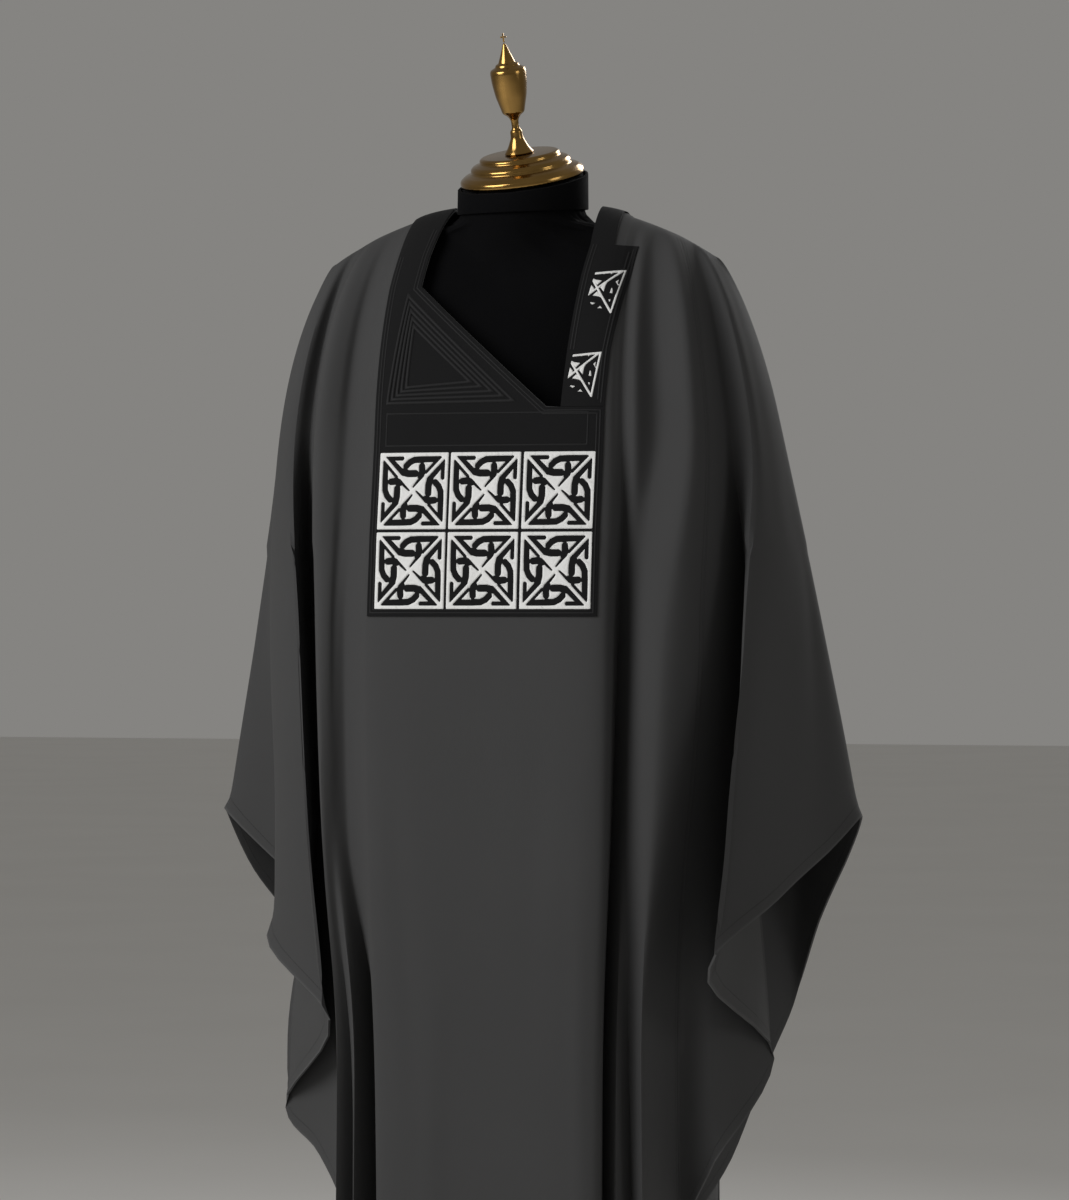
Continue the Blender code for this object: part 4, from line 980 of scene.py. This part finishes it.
def knot_depth(bars, lines, point, for_strap):
    """How deep inside the white stitching a point of the unit square is, and how far along it."""
    between, along = nearest(bars, point)
    depth = max(between, -nearest(lines, point)[0])
    depth = min(depth, 0.5 - abs(point.x), 0.5 - abs(point.y))
    if for_strap:
        depth = max(depth, STRAP_EDGE_WIDTH - inside_outline(STRAP_OUTLINE, point, STRAP_EDGED))
        depth = min(depth, inside_outline(STRAP_OUTLINE, point, len(STRAP_OUTLINE)))
    return depth, along


STITCH_CELLS = 84
SATIN_HEIGHT, SATIN_ROUND, SATIN_EDGE_SUNK, SATIN_SUNK = 0.0007, 0.0012, 0.0001, 0.00025


def stitched(bm, uv, tree, knot_grid, middle, size, tilt):
    """The knot as raised stitching on a trim: its outline follows the lines exactly."""
    verts = {}
    turn = Matrix.Rotation(tilt, 2)

    def corner(u, v, depth, along):
        key = (round(u, 4), round(v, 4))
        if key not in verts:
            flat = Vector(((u / STITCH_CELLS - 0.5) * size[0], (v / STITCH_CELLS - 0.5) * size[1]))
            across, up = Vector(middle) + turn @ flat
            hit, out = on_surface(tree, across, up)
            full = min(1.0, depth * size[0] / SATIN_ROUND)
            rise = SATIN_HEIGHT * math.sqrt(1 - (1 - full) ** 2)
            made = (bm.verts.new(hit + out * (rise - SATIN_EDGE_SUNK)), bm.verts.new(hit - out * SATIN_SUNK))
            verts[key] = (*made, (along * size[0], depth * size[0]))
        return verts[key]

    rim = {}
    for i in range(STITCH_CELLS):
        for j in range(STITCH_CELLS):
            ring = []
            loop = ((i, j), (i + 1, j), (i + 1, j + 1), (i, j + 1))
            for a, b in zip(loop, loop[1:] + loop[:1]):
                (da, along), (db, _) = knot_grid[a], knot_grid[b]
                if da > 0:
                    ring.append(corner(*a, da, along))
                if (da > 0) != (db > 0):
                    t = da / (da - db)
                    ring.append(corner(a[0] + (b[0] - a[0]) * t, a[1] + (b[1] - a[1]) * t, 0.0, along))
            ring = list(dict.fromkeys(ring))
            if len(ring) < 3:
                continue
            for side in (0, 1):
                order = ring if side == 0 else ring[::-1]
                face = bm.faces.new([item[side] for item in order])
                for item, corner_loop in zip(order, face.loops):
                    corner_loop[uv].uv = item[2]
            for a, b in zip(ring, ring[1:] + ring[:1]):
                if (b, a) in rim:
                    del rim[b, a]
                else:
                    rim[a, b] = True
    for a, b in rim:
        bm.faces.new((b[0], a[0], a[1], b[1]))


SQUARES_ACROSS = (-0.0695, 0.0000, 0.0700)
SQUARES_UP = (1.2310, 1.1570)
SQUARE = (0.0675, 0.0715)
STRAP_KNOTS = ((0.0940, 1.4195), (0.0820, 1.3413))
STRAP_KNOT = (0.0430, 0.0480)
STRAP_TILT = math.radians(-9)
white = Finish("white_thread", sheen_weight=0.2, sheen_roughness=0.4, specular_ior_level=0.4)
run = white.node("UVMap", {"uv_map": "satin"})
stitch_rows = white.node("SeparateXYZ", {}, {0: run}, output="X").wave(0.00055)
fuzz = white.noise(1600, 3.0)
handling = white.noise(24, 4.0)
thread_tone = stitch_rows * 0.35 + fuzz * 0.35 + handling * 0.3
white.dress(white.blend(thread_tone, (0.60, 0.60, 0.59), (0.86, 0.86, 0.85)),
            fuzz * 0.2 + 0.5, stitch_rows * 0.7 + fuzz * 0.3, 0.00012)


def embroidery(name, tree, places, size, tilt, for_strap):
    steps = [k / STITCH_CELLS - 0.5 for k in range(STITCH_CELLS + 1)]
    bars = all_quarters(KNOT_BARS, STRAP_BARS_WIDENED if for_strap else 1.0)
    lines = all_quarters(KNOT_LINES)
    grid = {(i, j): knot_depth(bars, lines, Vector((u, v)), for_strap)
            for i, u in enumerate(steps) for j, v in enumerate(steps)}
    bm = bmesh.new()
    uv = bm.loops.layers.uv.new("satin")
    for middle in places:
        stitched(bm, uv, tree, grid, middle, size, tilt)
    bmesh.ops.recalc_face_normals(bm, faces=bm.faces)
    made = add_piece(name, mesh_from(bm, name), white.material, 60)
    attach(made, "root")


CHEST_PLACES = [(across, up) for up in SQUARES_UP for across in SQUARES_ACROSS]
embroidery("chest_embroidery", front_of_panel, CHEST_PLACES, SQUARE, 0.0, False)
embroidery("strap_embroidery", front_of_strap, STRAP_KNOTS, STRAP_KNOT, STRAP_TILT, True)

sheet.free()
